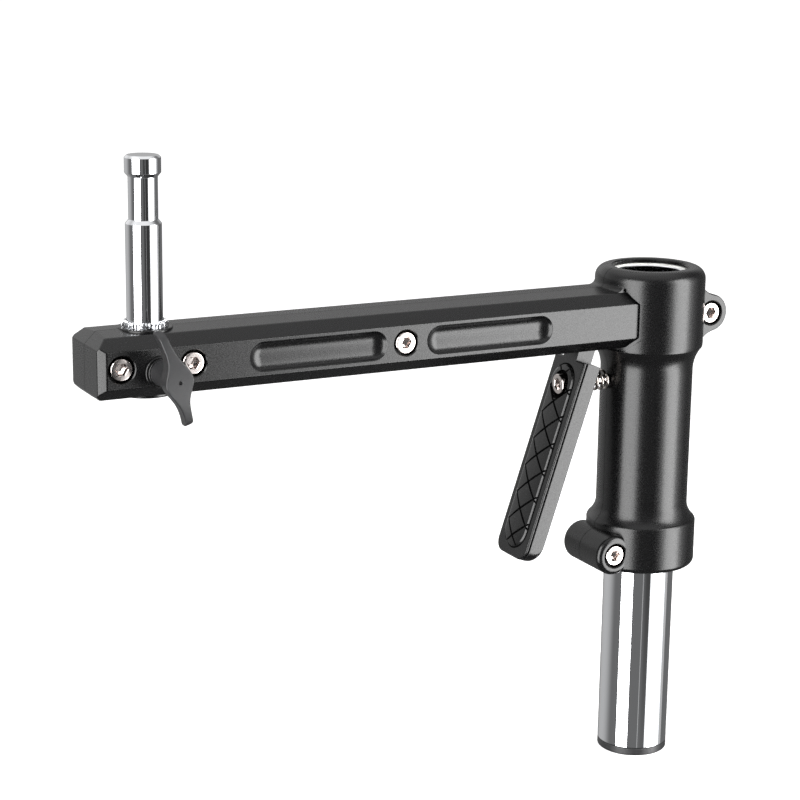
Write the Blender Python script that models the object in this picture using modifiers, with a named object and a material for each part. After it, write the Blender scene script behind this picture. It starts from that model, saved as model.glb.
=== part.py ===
"""Side arm of a lighting stand, on a section of its 35 mm column.

Two die-cast halves, front (-Y) and back (+Y), are screwed together round the column. They form a
sleeve that slides and turns on two plastic bushes, and a hollow arm towards -X whose far end holds
a turning 16 mm lamp stud. A squeeze lever under the arm works a brake block against the column.

Units are metres, +Z is up, and the origin is the centre of the column's foot.
"""

import math

import bmesh
import bpy
from mathutils import Matrix, Vector

# Fits
GAP = 0.0003  # air between pieces that touch
SIDES = 36  # facets round a large turned piece
SMALL_SIDES = 18  # facets round a screw, a pin or a hole
ARC_STEPS = 3  # segments in a quarter-round edge
BLEND_STEPS = 6  # segments in a soft blend of the sleeve
MERGE = 0.00001  # points closer than this are one
SHARP_ANGLE = math.radians(35)  # edges steeper than this are shaded sharp

# Column
TUBE_RADIUS = 0.0175
TUBE_WALL = 0.0015
COLUMN_BELOW_SLEEVE = 0.100  # bare column under the sleeve
COLUMN_RECESS = 0.0030  # the tube ends this far under the sleeve's rim
PLUG_FLANGE = 0.0040
PLUG_SPIGOT = 0.0150

# Sleeve; walls outside the bore, and heights from its nearer rim
SLEEVE_HEIGHT = 0.1504
BORE_CLEARANCE = 0.0010  # sleeve bore over the tube
HEAD_WALL = 0.00855
WAIST_WALL = 0.00423
RING_WALL = 0.0087
HEAD_HEIGHT = 0.0354
HEAD_BLEND = 0.0160
RING_HEIGHT = 0.0205
RING_BLEND = 0.0115
RIM_ROUND = 0.0050
FOOT_ROUND = 0.0030
BUSH_WALL = 0.0022
UPPER_BUSH_DEPTH = 0.0024  # from the rim down to the bush
UPPER_BUSH_HEIGHT = 0.0085
LOWER_BUSH_LIFT = 0.0050
LOWER_BUSH_HEIGHT = 0.0200

# Arm, a hollow box with bevelled edges
ARM_TIP = -0.2912
ARM_HALF_WIDTH = 0.0185
ARM_DROP = 0.00915  # from the sleeve's rim down to the arm's top
ARM_HEIGHT = 0.02785
ARM_BEVEL = 0.0053
TIP_TOP_BEVEL = 0.0050
TIP_LOW_BEVEL = 0.0020
TIP_SIDE_BEVEL = 0.0021  # across the arm
TIP_SIDE_LENGTH = 0.0034  # and along it
ARM_WALL = 0.0040
ARM_SIDE_WALL = 0.0060
FLUTE_DEPTH = 0.0030
FLUTE_HALF_HEIGHT = 0.0064
FLUTE_FROM_INNER_SCREW = 0.02674
FLUTE_BEFORE_MIDDLE_SCREW = 0.0100
FLUTE_AFTER_MIDDLE_SCREW = 0.0111
FLUTE_ROOT_END = -0.0666
SCREW_BOSS = 0.0085  # solid metal left round a clamp screw
CAVITY_ROOT_END = -0.0560

# Ear and lug, the two clamp points of the sleeve
EAR_OUT = 0.00195  # the ear's screw stands this far outside the head
EAR_DROP = 0.001125  # and this far under the arm's middle
EAR_RADIUS = 0.0092
EAR_HALF_WIDTH = 0.0120
LUG_IN = 0.0014  # the lug's screw lies this far inside the ring's face
LUG_LIFT = 0.0096
LUG_RADIUS = 0.0100
LUG_FRONT = 0.0180
LUG_BACK = 0.0160
LUG_ROUND = 0.0022

# M6 clamp screws and their captive nuts
SCREW_RADIUS = 0.0030
SCREW_HEAD_RADIUS = 0.0050
SCREW_HEAD_HEIGHT = 0.0060
SCREW_SOCKET_FLATS = 0.0050
SCREW_SOCKET_DEPTH = 0.0030
SCREW_SINK = 0.0004  # the head lies this far under the surface
COUNTERBORE_CLEARANCE = 0.0011
NUT_FLATS = 0.0100
NUT_HEIGHT = 0.0050
NUT_SINK = 0.0008
TIP_SCREW_IN = 0.01045  # from the arm's tip
MIDDLE_SCREW_X = -0.1439

# Lamp stud, in a steel socket bush between two clamp screws
STUD_RADIUS = 0.0080
STUD_NECK_RADIUS = 0.0065
STUD_RISE = 0.07545  # from the arm's top to the stud's
STUD_CAP_HEIGHT = 0.0077
STUD_NECK_DEPTH = 0.0294  # from the stud's top down to the neck's foot
STUD_CHAMFER = 0.0010
SOCKET_WALL = 0.0017
SOCKET_LIFT = 0.0041  # from the arm's underside
SOCKET_TO_TIP_SCREW = 0.00755
SOCKET_TO_INNER_SCREW = 0.00546
CROWN_WALL = 0.00195
CROWN_HEIGHT = 0.0026
CROWN_TEETH = 30
CROWN_TOOTH_DEPTH = 0.0005
BOSS_WALL = 0.00225
BOSS_HEIGHT = 0.0007
UNDER_BOSS_WALL = 0.0035
UNDER_BOSS_HEIGHT = 0.0014
WASHER_RIM = 0.0015
WASHER_HEIGHT = 0.0015
STUD_SCREW_RADIUS = 0.0025
STUD_SCREW_HEAD_RADIUS = 0.0045
STUD_SCREW_HEAD_HEIGHT = 0.0027
STUD_SCREW_LENGTH = 0.0120

# Wing screw that locks the stud
LOCK_DROP = 0.0024  # its axis lies this far under the arm's middle
WING_SCREW_RADIUS = 0.0040
INSERT_RADIUS = 0.0060
INSERT_TO_SOCKET = 0.0023
COLLAR_RADIUS = 0.0067
COLLAR_HEIGHT = 0.0010
PAD_RADIUS = 0.0034
PAD_LENGTH = 0.0024
KNOB_OUT = 0.0235  # from the arm's face to the knob's outer face
KNOB_DEPTH = 0.0100
KNOB_CROWN = 0.0052  # the outer face falls back this much towards the wings' tips
KNOB_HALF_SPAN = 0.0222
KNOB_HALF_WIDTH = 0.0060
KNOB_TIP_HALF_WIDTH = 0.0024
KNOB_HUB_SPREAD = 3.4  # how quickly the hub narrows into the wings
KNOB_TIP_SQUARENESS = 16
KNOB_TILT = math.radians(-18)
KNOB_SWEEP = 0.0010
KNOB_HUB_RADIUS = 0.0062
KNOB_EDGE = 0.0008
KNOB_STEPS = 20

# Brake lever; lengths run down from its pivot, along the lever
PIVOT_OUT = 0.0195  # from the sleeve's bore
PIVOT_LIFT = 0.0071  # above the arm's underside
PIVOT_PIN_RADIUS = 0.0025
PIVOT_PIN_HALF_LENGTH = 0.0120
LEVER_TILT = math.radians(18.25)
LEVER_START = 0.0142
LEVER_END = 0.1150
LEVER_HALF_WIDTH = 0.0135
LEVER_OUTER = 0.0024  # outer face, from the line through the pivot
LEVER_INNER_START = 0.0074
LEVER_INNER_END = 0.0072
LEVER_CORNER = 0.0060
LEVER_EDGE = 0.0008
TONGUE_HALF_WIDTH = 0.0060
TONGUE_THICKNESS = 0.0088
TONGUE_OVERLAP = 0.0020
HUB_RADIUS = 0.0055
NOSE_RISE = 0.0090
NOSE_RADIUS = 0.0040
NECK_HALF_THICKNESS = 0.0024
GRIP_START = 0.0172
GRIP_END = 0.1108
GRIP_HALF_WIDTH = 0.0098
GRIP_DEPTH = 0.0024
GRIP_PROUD = 0.0018  # the pad stands this far out of the lever
GRIP_PITCH = 0.0137  # from groove to groove, along the lever
GRIP_LEAN = math.radians(41)
GRIP_GROOVE = 0.0009
GRIP_GROOVE_DEPTH = 0.0008

# Stop bolt and return spring
BOLT_DROP = 0.0181  # under the arm
BOLT_RADIUS = 0.0025
BOLT_HEAD_PROUD = 0.0026  # outside the lever's outer face
BOLT_HEAD_RADIUS = 0.0050
BOLT_HEAD_HEIGHT = 0.0060
BOLT_SLOT_HALF_WIDTH = 0.0030
BOLT_SLOT_HALF_HEIGHT = 0.0048
BOLT_RECESS_RADIUS = 0.0068
BOLT_NUT_FLATS = 0.0080
BOLT_NUT_HEIGHT = 0.0023
SPRING_WIRE = 0.00072
SPRING_RADIUS = 0.0044
SPRING_TURNS = 4
SPRING_POINTS = 10  # a turn

# Brake block and lining
BLOCK_HEIGHT = 0.0104
BLOCK_HALF_WIDTH = 0.0080
BLOCK_BEHIND_PIVOT = 0.0080
BRAKE_TRAVEL_ROOM = 0.0022
LINING_THICKNESS = 0.0031
LINING_MARGIN = 0.0005

# Radii and places that follow from the values above
BORE_RADIUS = TUBE_RADIUS + BORE_CLEARANCE
HEAD_RADIUS = BORE_RADIUS + HEAD_WALL
WAIST_RADIUS = BORE_RADIUS + WAIST_WALL
RING_RADIUS = BORE_RADIUS + RING_WALL
BUSH_OUTER = TUBE_RADIUS + GAP + BUSH_WALL
SLEEVE_LOW = COLUMN_BELOW_SLEEVE
SLEEVE_TOP = SLEEVE_LOW + SLEEVE_HEIGHT
COLUMN_TOP = SLEEVE_TOP - COLUMN_RECESS
UPPER_BUSH_LOW = SLEEVE_TOP - UPPER_BUSH_DEPTH - UPPER_BUSH_HEIGHT
LOWER_BUSH_LOW = SLEEVE_LOW + LOWER_BUSH_LIFT
ARM_TOP = SLEEVE_TOP - ARM_DROP
ARM_BOTTOM = ARM_TOP - ARM_HEIGHT
ARM_MIDDLE = (ARM_BOTTOM + ARM_TOP) / 2
SOCKET_BORE = STUD_RADIUS + GAP
SOCKET_OUTER = SOCKET_BORE + SOCKET_WALL
SOCKET_BOTTOM = ARM_BOTTOM + SOCKET_LIFT
SOCKET_TOP = ARM_TOP + BOSS_HEIGHT
CROWN_RADIUS = SOCKET_BORE + CROWN_WALL
WASHER_RADIUS = STUD_RADIUS + WASHER_RIM
TIP_SCREW_X = ARM_TIP + TIP_SCREW_IN
STUD_X = TIP_SCREW_X + SOCKET_OUTER + SOCKET_TO_TIP_SCREW
INNER_SCREW_X = STUD_X + SOCKET_OUTER + SOCKET_TO_INNER_SCREW
FLUTE_SPANS = (
    (INNER_SCREW_X + FLUTE_FROM_INNER_SCREW, MIDDLE_SCREW_X - FLUTE_BEFORE_MIDDLE_SCREW),
    (MIDDLE_SCREW_X + FLUTE_AFTER_MIDDLE_SCREW, FLUTE_ROOT_END),
)
CAVITY_TIP_END = INNER_SCREW_X + SCREW_BOSS
CAVITY_HALF_WIDTH = ARM_HALF_WIDTH - ARM_SIDE_WALL
EAR_X = HEAD_RADIUS + EAR_OUT
EAR_LEVEL = ARM_MIDDLE - EAR_DROP
LUG_X = LUG_IN - RING_RADIUS
LUG_LEVEL = SLEEVE_LOW + LUG_LIFT
LOCK_LEVEL = ARM_MIDDLE - LOCK_DROP
INSERT_LENGTH = ARM_HALF_WIDTH - SOCKET_OUTER - INSERT_TO_SOCKET
PIVOT_X = -BORE_RADIUS - PIVOT_OUT
PIVOT = Vector((PIVOT_X, 0, ARM_BOTTOM + PIVOT_LIFT))
BOLT_LEVEL = ARM_BOTTOM - BOLT_DROP
BLOCK_LOW = PIVOT.z + HUB_RADIUS + 2 * GAP
BLOCK_HIGH = BLOCK_LOW + BLOCK_HEIGHT
BLOCK_BACK = PIVOT_X - BLOCK_BEHIND_PIVOT
LINING_BACK = -(TUBE_RADIUS + GAP + LINING_THICKNESS)
BLOCK_FRONT = LINING_BACK - GAP
TO_LEVER = Matrix.Translation(PIVOT) @ Matrix.Rotation(LEVER_TILT, 4, "Y")
Y_AXIS = Vector((0, 1, 0))
Z_AXIS = Vector((0, 0, 1))

SCREWS = {
    "tip": (TIP_SCREW_X, ARM_MIDDLE, ARM_HALF_WIDTH, ARM_HALF_WIDTH),
    "inner": (INNER_SCREW_X, ARM_MIDDLE, ARM_HALF_WIDTH, ARM_HALF_WIDTH),
    "middle": (MIDDLE_SCREW_X, ARM_MIDDLE, ARM_HALF_WIDTH, ARM_HALF_WIDTH),
    "ear": (EAR_X, EAR_LEVEL, EAR_HALF_WIDTH, EAR_HALF_WIDTH),
    "lug": (LUG_X, LUG_LEVEL, LUG_FRONT, LUG_BACK),
}  # x, z, and how far the metal reaches to the front and to the back

FINISHES = {  # colour, metallic, roughness
    "black_paint": ((0.015, 0.015, 0.016), 0.0, 0.42),
    "black_rubber": ((0.012, 0.012, 0.012), 0.0, 0.65),
    "black_plastic": ((0.045, 0.045, 0.047), 0.0, 0.55),
    "chrome": ((0.85, 0.86, 0.88), 1.0, 0.06),
    "nickel": ((0.80, 0.79, 0.77), 1.0, 0.18),
    "steel": ((0.55, 0.55, 0.56), 1.0, 0.35),
    "brass": ((0.72, 0.55, 0.28), 1.0, 0.30),
    "lining": ((0.10, 0.08, 0.06), 0.0, 0.85),
    "acetal": ((0.85, 0.85, 0.82), 0.0, 0.45),
}


# Scene and helpers


def clear_scene():
    for obj in list(bpy.data.objects):
        bpy.data.objects.remove(obj)


def new_collection(name):
    collection = bpy.data.collections.new(name)
    bpy.context.scene.collection.children.link(collection)
    return collection


def finish(name):
    made = bpy.data.materials.get(name)
    if made is None:
        colour, metallic, roughness = FINISHES[name]
        made = bpy.data.materials.new(name)
        made.use_nodes = True
        shader = made.node_tree.nodes["Principled BSDF"]
        shader.inputs["Base Color"].default_value = (*colour, 1)
        shader.inputs["Metallic"].default_value = metallic
        shader.inputs["Roughness"].default_value = roughness
    return made


def empty(name, place=(0, 0, 0), parent=None):
    """A joint's frame; the pieces that move about it hang from it."""
    obj = bpy.data.objects.new(name, None)
    PARTS.objects.link(obj)
    obj.parent = parent
    start = WORLD_PLACES[parent.name] if parent else Vector((0, 0, 0))
    obj.location = Vector(place) - start
    WORLD_PLACES[name] = Vector(place)
    return obj


def mesh_from(bm, name):
    bmesh.ops.recalc_face_normals(bm, faces=bm.faces)
    mesh = bpy.data.meshes.new(name)
    bm.to_mesh(mesh)
    bm.free()
    mesh.shade_smooth()
    mesh.set_sharp_from_angle(angle=SHARP_ANGLE)
    return mesh


def piece(name, mesh, finish_name, body):
    """A part of the object, hung from its body's empty with its place kept."""
    obj = bpy.data.objects.new(name, mesh)
    PARTS.objects.link(obj)
    mesh.materials.clear()
    mesh.materials.append(finish(finish_name))
    place = WORLD_PLACES[body.name]
    mesh.transform(Matrix.Translation(-place))
    obj.parent = body
    return obj


def guide(name, mesh):
    """A solid that only shapes others."""
    obj = bpy.data.objects.new(name, mesh)
    CUTTERS.objects.link(obj)
    obj.hide_render = True
    obj.display_type = "WIRE"
    return obj


def combine(obj, other, operation):
    step = obj.modifiers.new(f"{operation}_{other.name}", "BOOLEAN")
    step.operation = operation
    step.solver = "EXACT"
    step.object = other


def evaluated_mesh(obj, name):
    """The mesh that an object's modifiers make; the object is then removed."""
    depsgraph = bpy.context.evaluated_depsgraph_get()
    mesh = bpy.data.meshes.new_from_object(obj.evaluated_get(depsgraph))
    mesh.name = name
    bpy.data.objects.remove(obj)
    return mesh


def box(low, high, name="box"):
    low, high = Vector(low), Vector(high)
    bm = bmesh.new()
    bmesh.ops.create_cube(bm, size=1)
    bmesh.ops.scale(bm, vec=high - low, verts=bm.verts)
    bmesh.ops.translate(bm, vec=(low + high) / 2, verts=bm.verts)
    return mesh_from(bm, name)


def rod(radius, start, end, sides=SMALL_SIDES, end_radius=None, name="rod"):
    """A round, conical or many-sided bar from one point to another; a flat side faces +Z on hex bars."""
    start, end = Vector(start), Vector(end)
    axis = end - start
    bm = bmesh.new()
    bmesh.ops.create_cone(
        bm,
        cap_ends=True,
        segments=sides,
        radius1=radius,
        radius2=radius if end_radius is None else end_radius,
        depth=axis.length,
    )
    turn = Z_AXIS.rotation_difference(axis).to_matrix()
    bmesh.ops.rotate(bm, cent=(0, 0, 0), matrix=turn, verts=bm.verts)
    bmesh.ops.translate(bm, vec=(start + end) / 2, verts=bm.verts)
    return mesh_from(bm, name)


def across_corners(flats):
    """Corner radius of a hexagon from the distance between its flats."""
    return flats / 2 / math.cos(math.pi / 6)


def turned(profile, sides=SIDES, place=(0, 0, 0), name="turned"):
    """A profile of (radius, height), listed down its outer side, spun about Z."""
    mesh = bpy.data.meshes.new(name)
    points = [(radius, 0, height) for radius, height in profile]
    closed = profile[0][0] > 0
    edges = [(i, i + 1) for i in range(len(points) - 1)]
    if closed:
        edges.append((len(points) - 1, 0))
    mesh.from_pydata(points, edges, [])
    obj = bpy.data.objects.new(name, mesh)
    CUTTERS.objects.link(obj)
    screw = obj.modifiers.new("spin", "SCREW")
    screw.axis = "Z"
    screw.steps = sides
    screw.render_steps = sides
    screw.use_merge_vertices = True
    screw.merge_threshold = MERGE
    spun = evaluated_mesh(obj, name)
    spun.transform(Matrix.Translation(place))
    spun.shade_smooth()
    spun.set_sharp_from_angle(angle=SHARP_ANGLE)
    return spun


def ring(inner, outer, low, high, sides=SIDES, place=(0, 0, 0), name="ring"):
    return turned([(outer, high), (outer, low), (inner, low), (inner, high)], sides, place, name)


def quarter(centre_radius, centre_height, radius, start_degrees):
    """Points of a quarter round, turning clockwise from the start angle."""
    points = []
    for i in range(ARC_STEPS + 1):
        angle = math.radians(start_degrees - 90 * i / ARC_STEPS)
        points.append((centre_radius + radius * math.cos(angle), centre_height + radius * math.sin(angle)))
    return points


def soft_step(high_radius, high, low_radius, low):
    """Points of an S-shaped blend between two radii, listed downwards."""
    points = []
    for i in range(BLEND_STEPS + 1):
        share = i / BLEND_STEPS
        ease = (1 - math.cos(math.pi * share)) / 2
        points.append((high_radius + (low_radius - high_radius) * ease, high + (low - high) * share))
    return points


def slab(outline, low, high, name="slab"):
    """A flat outline of (x, z) points, made solid between two places along Y."""
    curve = bpy.data.curves.new(name, "CURVE")
    curve.dimensions = "2D"
    curve.fill_mode = "BOTH"
    curve.extrude = (high - low) / 2
    spline = curve.splines.new("POLY")
    spline.points.add(len(outline) - 1)
    for point, (x, z) in zip(spline.points, outline):
        point.co = (x, z, 0, 1)
    spline.use_cyclic_u = True
    obj = bpy.data.objects.new(name, curve)
    CUTTERS.objects.link(obj)
    mesh = evaluated_mesh(obj, name)
    bm = bmesh.new()
    bm.from_mesh(mesh)
    bmesh.ops.remove_doubles(bm, verts=bm.verts, dist=MERGE)
    stand_up = Matrix.Translation((0, (low + high) / 2, 0)) @ Matrix.Rotation(math.pi / 2, 4, "X")
    bmesh.ops.transform(bm, matrix=stand_up, verts=bm.verts)
    return mesh_from(bm, name)


def bevelled(mesh, width, segments=2, sharper_than=35, keep=None):
    """The same solid with its sharp edges rounded."""
    bm = bmesh.new()
    bm.from_mesh(mesh)
    sharp = [e for e in bm.edges if e.calc_face_angle(0) > math.radians(sharper_than)]
    if keep:
        sharp = [e for e in sharp if keep(e)]
    bmesh.ops.bevel(bm, geom=sharp, offset=width, segments=segments, profile=0.5, affect="EDGES", material=-1)
    return mesh_from(bm, mesh.name)


def slice_off(bm, point, normal):
    """Cuts away what lies beyond a plane and closes the cut."""
    geometry = bm.verts[:] + bm.edges[:] + bm.faces[:]
    cut = bmesh.ops.bisect_plane(bm, geom=geometry, plane_co=point, plane_no=normal, clear_outer=True)
    edges = [e for e in cut["geom_cut"] if isinstance(e, bmesh.types.BMEdge)]
    bmesh.ops.edgeloop_fill(bm, edges=edges)


# The castings


def sleeve_profile():
    rim = quarter(HEAD_RADIUS - RIM_ROUND, SLEEVE_TOP - RIM_ROUND, RIM_ROUND, 90)
    head_low, ring_top = SLEEVE_TOP - HEAD_HEIGHT, SLEEVE_LOW + RING_HEIGHT
    head = soft_step(HEAD_RADIUS, head_low, WAIST_RADIUS, head_low - HEAD_BLEND)
    foot = soft_step(WAIST_RADIUS, ring_top + RING_BLEND, RING_RADIUS, ring_top)
    edge = quarter(RING_RADIUS - FOOT_ROUND, SLEEVE_LOW + FOOT_ROUND, FOOT_ROUND, 0)
    return [(0, SLEEVE_TOP), *rim, *head, *foot, *edge, (0, SLEEVE_LOW)]


def arm_bar():
    bm = bmesh.new()
    bmesh.ops.create_cube(bm, size=1)
    low = Vector((ARM_TIP, -ARM_HALF_WIDTH, ARM_BOTTOM))
    high = Vector((0, ARM_HALF_WIDTH, ARM_TOP))
    bmesh.ops.scale(bm, vec=high - low, verts=bm.verts)
    bmesh.ops.translate(bm, vec=(low + high) / 2, verts=bm.verts)
    long_edges = [e for e in bm.edges if abs((e.verts[0].co - e.verts[1].co).x) > ARM_HALF_WIDTH]
    bmesh.ops.bevel(
        bm, geom=long_edges, offset=ARM_BEVEL, segments=1, profile=0.5, affect="EDGES", material=-1
    )
    slice_off(bm, (ARM_TIP, 0, ARM_TOP - TIP_TOP_BEVEL), (-1, 0, 1))
    slice_off(bm, (ARM_TIP, 0, ARM_BOTTOM + TIP_LOW_BEVEL), (-1, 0, -1))
    for side in (-1, 1):
        edge = (ARM_TIP, side * (ARM_HALF_WIDTH - TIP_SIDE_BEVEL), 0)
        slice_off(bm, edge, (-TIP_SIDE_BEVEL, side * TIP_SIDE_LENGTH, 0))
    return mesh_from(bm, "arm_bar")


def casting_additions():
    """Solids that are joined to the sleeve to make the whole casting."""
    lug = rod(LUG_RADIUS, (LUG_X, -LUG_FRONT, LUG_LEVEL), (LUG_X, LUG_BACK, LUG_LEVEL), SIDES)
    ear_low = (WAIST_RADIUS / 2, -EAR_HALF_WIDTH, EAR_LEVEL - EAR_RADIUS)
    ear_high = (EAR_X, EAR_HALF_WIDTH, EAR_LEVEL + EAR_RADIUS)
    ear_end = rod(
        EAR_RADIUS, (EAR_X, -EAR_HALF_WIDTH, EAR_LEVEL), (EAR_X, EAR_HALF_WIDTH, EAR_LEVEL), SIDES
    )
    boss = rod(SOCKET_OUTER + BOSS_WALL, (STUD_X, 0, ARM_MIDDLE), (STUD_X, 0, SOCKET_TOP), SIDES)
    under_radius = WASHER_RADIUS + UNDER_BOSS_WALL
    under = rod(
        under_radius - UNDER_BOSS_HEIGHT,
        (STUD_X, 0, ARM_BOTTOM - UNDER_BOSS_HEIGHT),
        (STUD_X, 0, ARM_BOTTOM + UNDER_BOSS_HEIGHT),
        SIDES,
        end_radius=under_radius + UNDER_BOSS_HEIGHT,
    )
    collar = rod(
        COLLAR_RADIUS,
        (STUD_X, -ARM_HALF_WIDTH - COLLAR_HEIGHT, LOCK_LEVEL),
        (STUD_X, -ARM_HALF_WIDTH + COLLAR_HEIGHT, LOCK_LEVEL),
    )
    return [
        guide("arm_bar", arm_bar()),
        guide("lug_barrel", bevelled(lug, LUG_ROUND, 3, 60)),
        guide("ear_web", box(ear_low, ear_high)),
        guide("ear_end", ear_end),
        guide("stud_boss", boss),
        guide("under_boss", under),
        guide("lock_collar", collar),
    ]


def rounded_flute(span, side):
    """A long hollow with round ends, let into one side face of the arm."""
    start, end = span
    outline = []
    for centre, first in ((end - FLUTE_HALF_HEIGHT, -90), (start + FLUTE_HALF_HEIGHT, 90)):
        for i in range(2 * ARC_STEPS + 1):
            angle = math.radians(first + 180 * i / (2 * ARC_STEPS))
            outline.append(
                (
                    centre + FLUTE_HALF_HEIGHT * math.cos(angle),
                    ARM_MIDDLE + FLUTE_HALF_HEIGHT * math.sin(angle),
                )
            )
    floor = ARM_HALF_WIDTH - FLUTE_DEPTH
    outside = ARM_HALF_WIDTH + FLUTE_DEPTH
    low, high = (floor, outside) if side > 0 else (-outside, -floor)
    return slab(outline, low, high, "flute")


def casting_cuts():
    """Solids that are cut from both castings."""
    slack = ARM_WALL
    bore = rod(BORE_RADIUS, (0, 0, SLEEVE_LOW - slack), (0, 0, SLEEVE_TOP + slack), SIDES)
    cuts = [guide("sleeve_bore", bore)]
    for name, low, height in (
        ("upper_bush_groove", UPPER_BUSH_LOW, UPPER_BUSH_HEIGHT),
        ("lower_bush_groove", LOWER_BUSH_LOW, LOWER_BUSH_HEIGHT),
    ):
        start = (0, 0, low - GAP)
        end = (0, 0, low + height + GAP)
        cuts.append(guide(name, rod(BUSH_OUTER + GAP, start, end, SIDES)))
    cavity_low, cavity_high = ARM_BOTTOM + ARM_WALL, ARM_TOP - ARM_WALL
    for name, start, end in (
        ("outer_cavity", CAVITY_TIP_END, MIDDLE_SCREW_X - SCREW_BOSS),
        ("root_cavity", MIDDLE_SCREW_X + SCREW_BOSS, CAVITY_ROOT_END),
    ):
        low = (start, -CAVITY_HALF_WIDTH, cavity_low)
        high = (end, CAVITY_HALF_WIDTH, cavity_high)
        cuts.append(guide(name, box(low, high)))
    for number, span in enumerate(FLUTE_SPANS, 1):
        for label, side in (("front", -1), ("back", 1)):
            cuts.append(guide(f"{label}_flute_{number}", rounded_flute(span, side)))
    cuts += stud_cuts() + brake_cuts()
    for label, (x, z, front, back) in SCREWS.items():
        cuts += screw_cuts(label, x, z, front, back)
    return cuts


def stud_cuts():
    level = LOCK_LEVEL
    face = -ARM_HALF_WIDTH - COLLAR_HEIGHT
    socket = rod(
        SOCKET_OUTER + GAP, (STUD_X, 0, SOCKET_BOTTOM - GAP), (STUD_X, 0, SOCKET_TOP + ARM_WALL), SIDES
    )
    access = rod(
        WASHER_RADIUS + GAP, (STUD_X, 0, ARM_BOTTOM - ARM_WALL), (STUD_X, 0, SOCKET_BOTTOM + GAP), SIDES
    )
    seat = rod(
        INSERT_RADIUS + GAP,
        (STUD_X, face + COLLAR_HEIGHT, level),
        (STUD_X, -ARM_HALF_WIDTH + INSERT_LENGTH + 2 * GAP, level),
    )
    passage = rod(WING_SCREW_RADIUS + GAP, (STUD_X, face - ARM_WALL, level), (STUD_X, 0, level))
    return [
        guide("stud_socket_bore", socket),
        guide("stud_screw_access", access),
        guide("insert_seat", seat),
        guide("wing_screw_hole", passage),
    ]


def brake_cuts():
    block_low = (BLOCK_BACK - BRAKE_TRAVEL_ROOM, -BLOCK_HALF_WIDTH - GAP, BLOCK_LOW - GAP)
    block_high = (-BORE_RADIUS / 2, BLOCK_HALF_WIDTH + GAP, BLOCK_HIGH + GAP)
    slot_back = PIVOT_X - HUB_RADIUS - BRAKE_TRAVEL_ROOM
    slot_low = (slot_back, -TONGUE_HALF_WIDTH - GAP, ARM_BOTTOM - ARM_WALL)
    slot_high = (PIVOT_X + HUB_RADIUS + BRAKE_TRAVEL_ROOM, TONGUE_HALF_WIDTH + GAP, BLOCK_LOW)
    pin_end = PIVOT_PIN_HALF_LENGTH + GAP
    pin = rod(PIVOT_PIN_RADIUS + GAP, (PIVOT_X, -pin_end, PIVOT.z), (PIVOT_X, pin_end, PIVOT.z))
    nut_out = BORE_RADIUS + BOLT_NUT_HEIGHT + GAP
    nut = rod(
        across_corners(BOLT_NUT_FLATS) + GAP,
        (-nut_out, 0, BOLT_LEVEL),
        (-BORE_RADIUS / 2, 0, BOLT_LEVEL),
        6,
    )
    bolt = rod(BOLT_RADIUS + GAP, (PIVOT_X, 0, BOLT_LEVEL), (-BORE_RADIUS / 2, 0, BOLT_LEVEL))
    return [
        guide("brake_pocket", box(block_low, block_high)),
        guide("lever_slot", box(slot_low, slot_high)),
        guide("pivot_hole", pin),
        guide("bolt_nut_pocket", nut),
        guide("bolt_hole", bolt),
    ]


def screw_cuts(label, x, z, front, back):
    head_floor = -front + SCREW_SINK + SCREW_HEAD_HEIGHT
    nut_floor = back - NUT_SINK - NUT_HEIGHT - GAP
    slack = ARM_WALL
    head = rod(SCREW_HEAD_RADIUS + COUNTERBORE_CLEARANCE, (x, -front - slack, z), (x, head_floor, z))
    shank = rod(SCREW_RADIUS + GAP, (x, -front, z), (x, back, z))
    nut = rod(across_corners(NUT_FLATS) + GAP, (x, nut_floor, z), (x, back + slack, z), 6)
    return [
        guide(f"{label}_counterbore", head),
        guide(f"{label}_shank_hole", shank),
        guide(f"{label}_nut_pocket", nut),
    ]


def make_castings(body):
    additions = casting_additions()
    cuts = casting_cuts()
    reach = 2 * abs(ARM_TIP)
    for name, side in (("front_casting", -1), ("back_casting", 1)):
        half = piece(name, turned(sleeve_profile(), name=name), "black_paint", body)
        for solid in additions:
            combine(half, solid, "UNION")
        for solid in cuts:
            combine(half, solid, "DIFFERENCE")
        inner = side * GAP / 2
        outer = -side * reach
        low = (-reach, min(inner, outer), -reach)
        high = (reach, max(inner, outer), reach)
        combine(half, guide(f"{name}_other_side", box(low, high)), "DIFFERENCE")


# Column and bushes


def make_column(body):
    inner = TUBE_RADIUS - TUBE_WALL
    tube = ring(inner, TUBE_RADIUS, PLUG_FLANGE + GAP, COLUMN_TOP)
    piece("column_tube", tube, "chrome", body)
    flange, spigot = TUBE_RADIUS, inner - GAP
    profile = [
        (0, PLUG_FLANGE + PLUG_SPIGOT),
        (spigot, PLUG_FLANGE + PLUG_SPIGOT),
        (spigot, PLUG_FLANGE),
        (flange, PLUG_FLANGE),
        (flange, 0),
        (0, 0),
    ]
    piece("column_end_plug", turned(profile), "black_plastic", body)


def make_bushes(body):
    for name, low, height in (
        ("upper_guide_bush", UPPER_BUSH_LOW, UPPER_BUSH_HEIGHT),
        ("lower_guide_bush", LOWER_BUSH_LOW, LOWER_BUSH_HEIGHT),
    ):
        bush = ring(TUBE_RADIUS + GAP, BUSH_OUTER, low, low + height)
        piece(name, bush, "acetal", body)


# Screws and nuts


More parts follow.
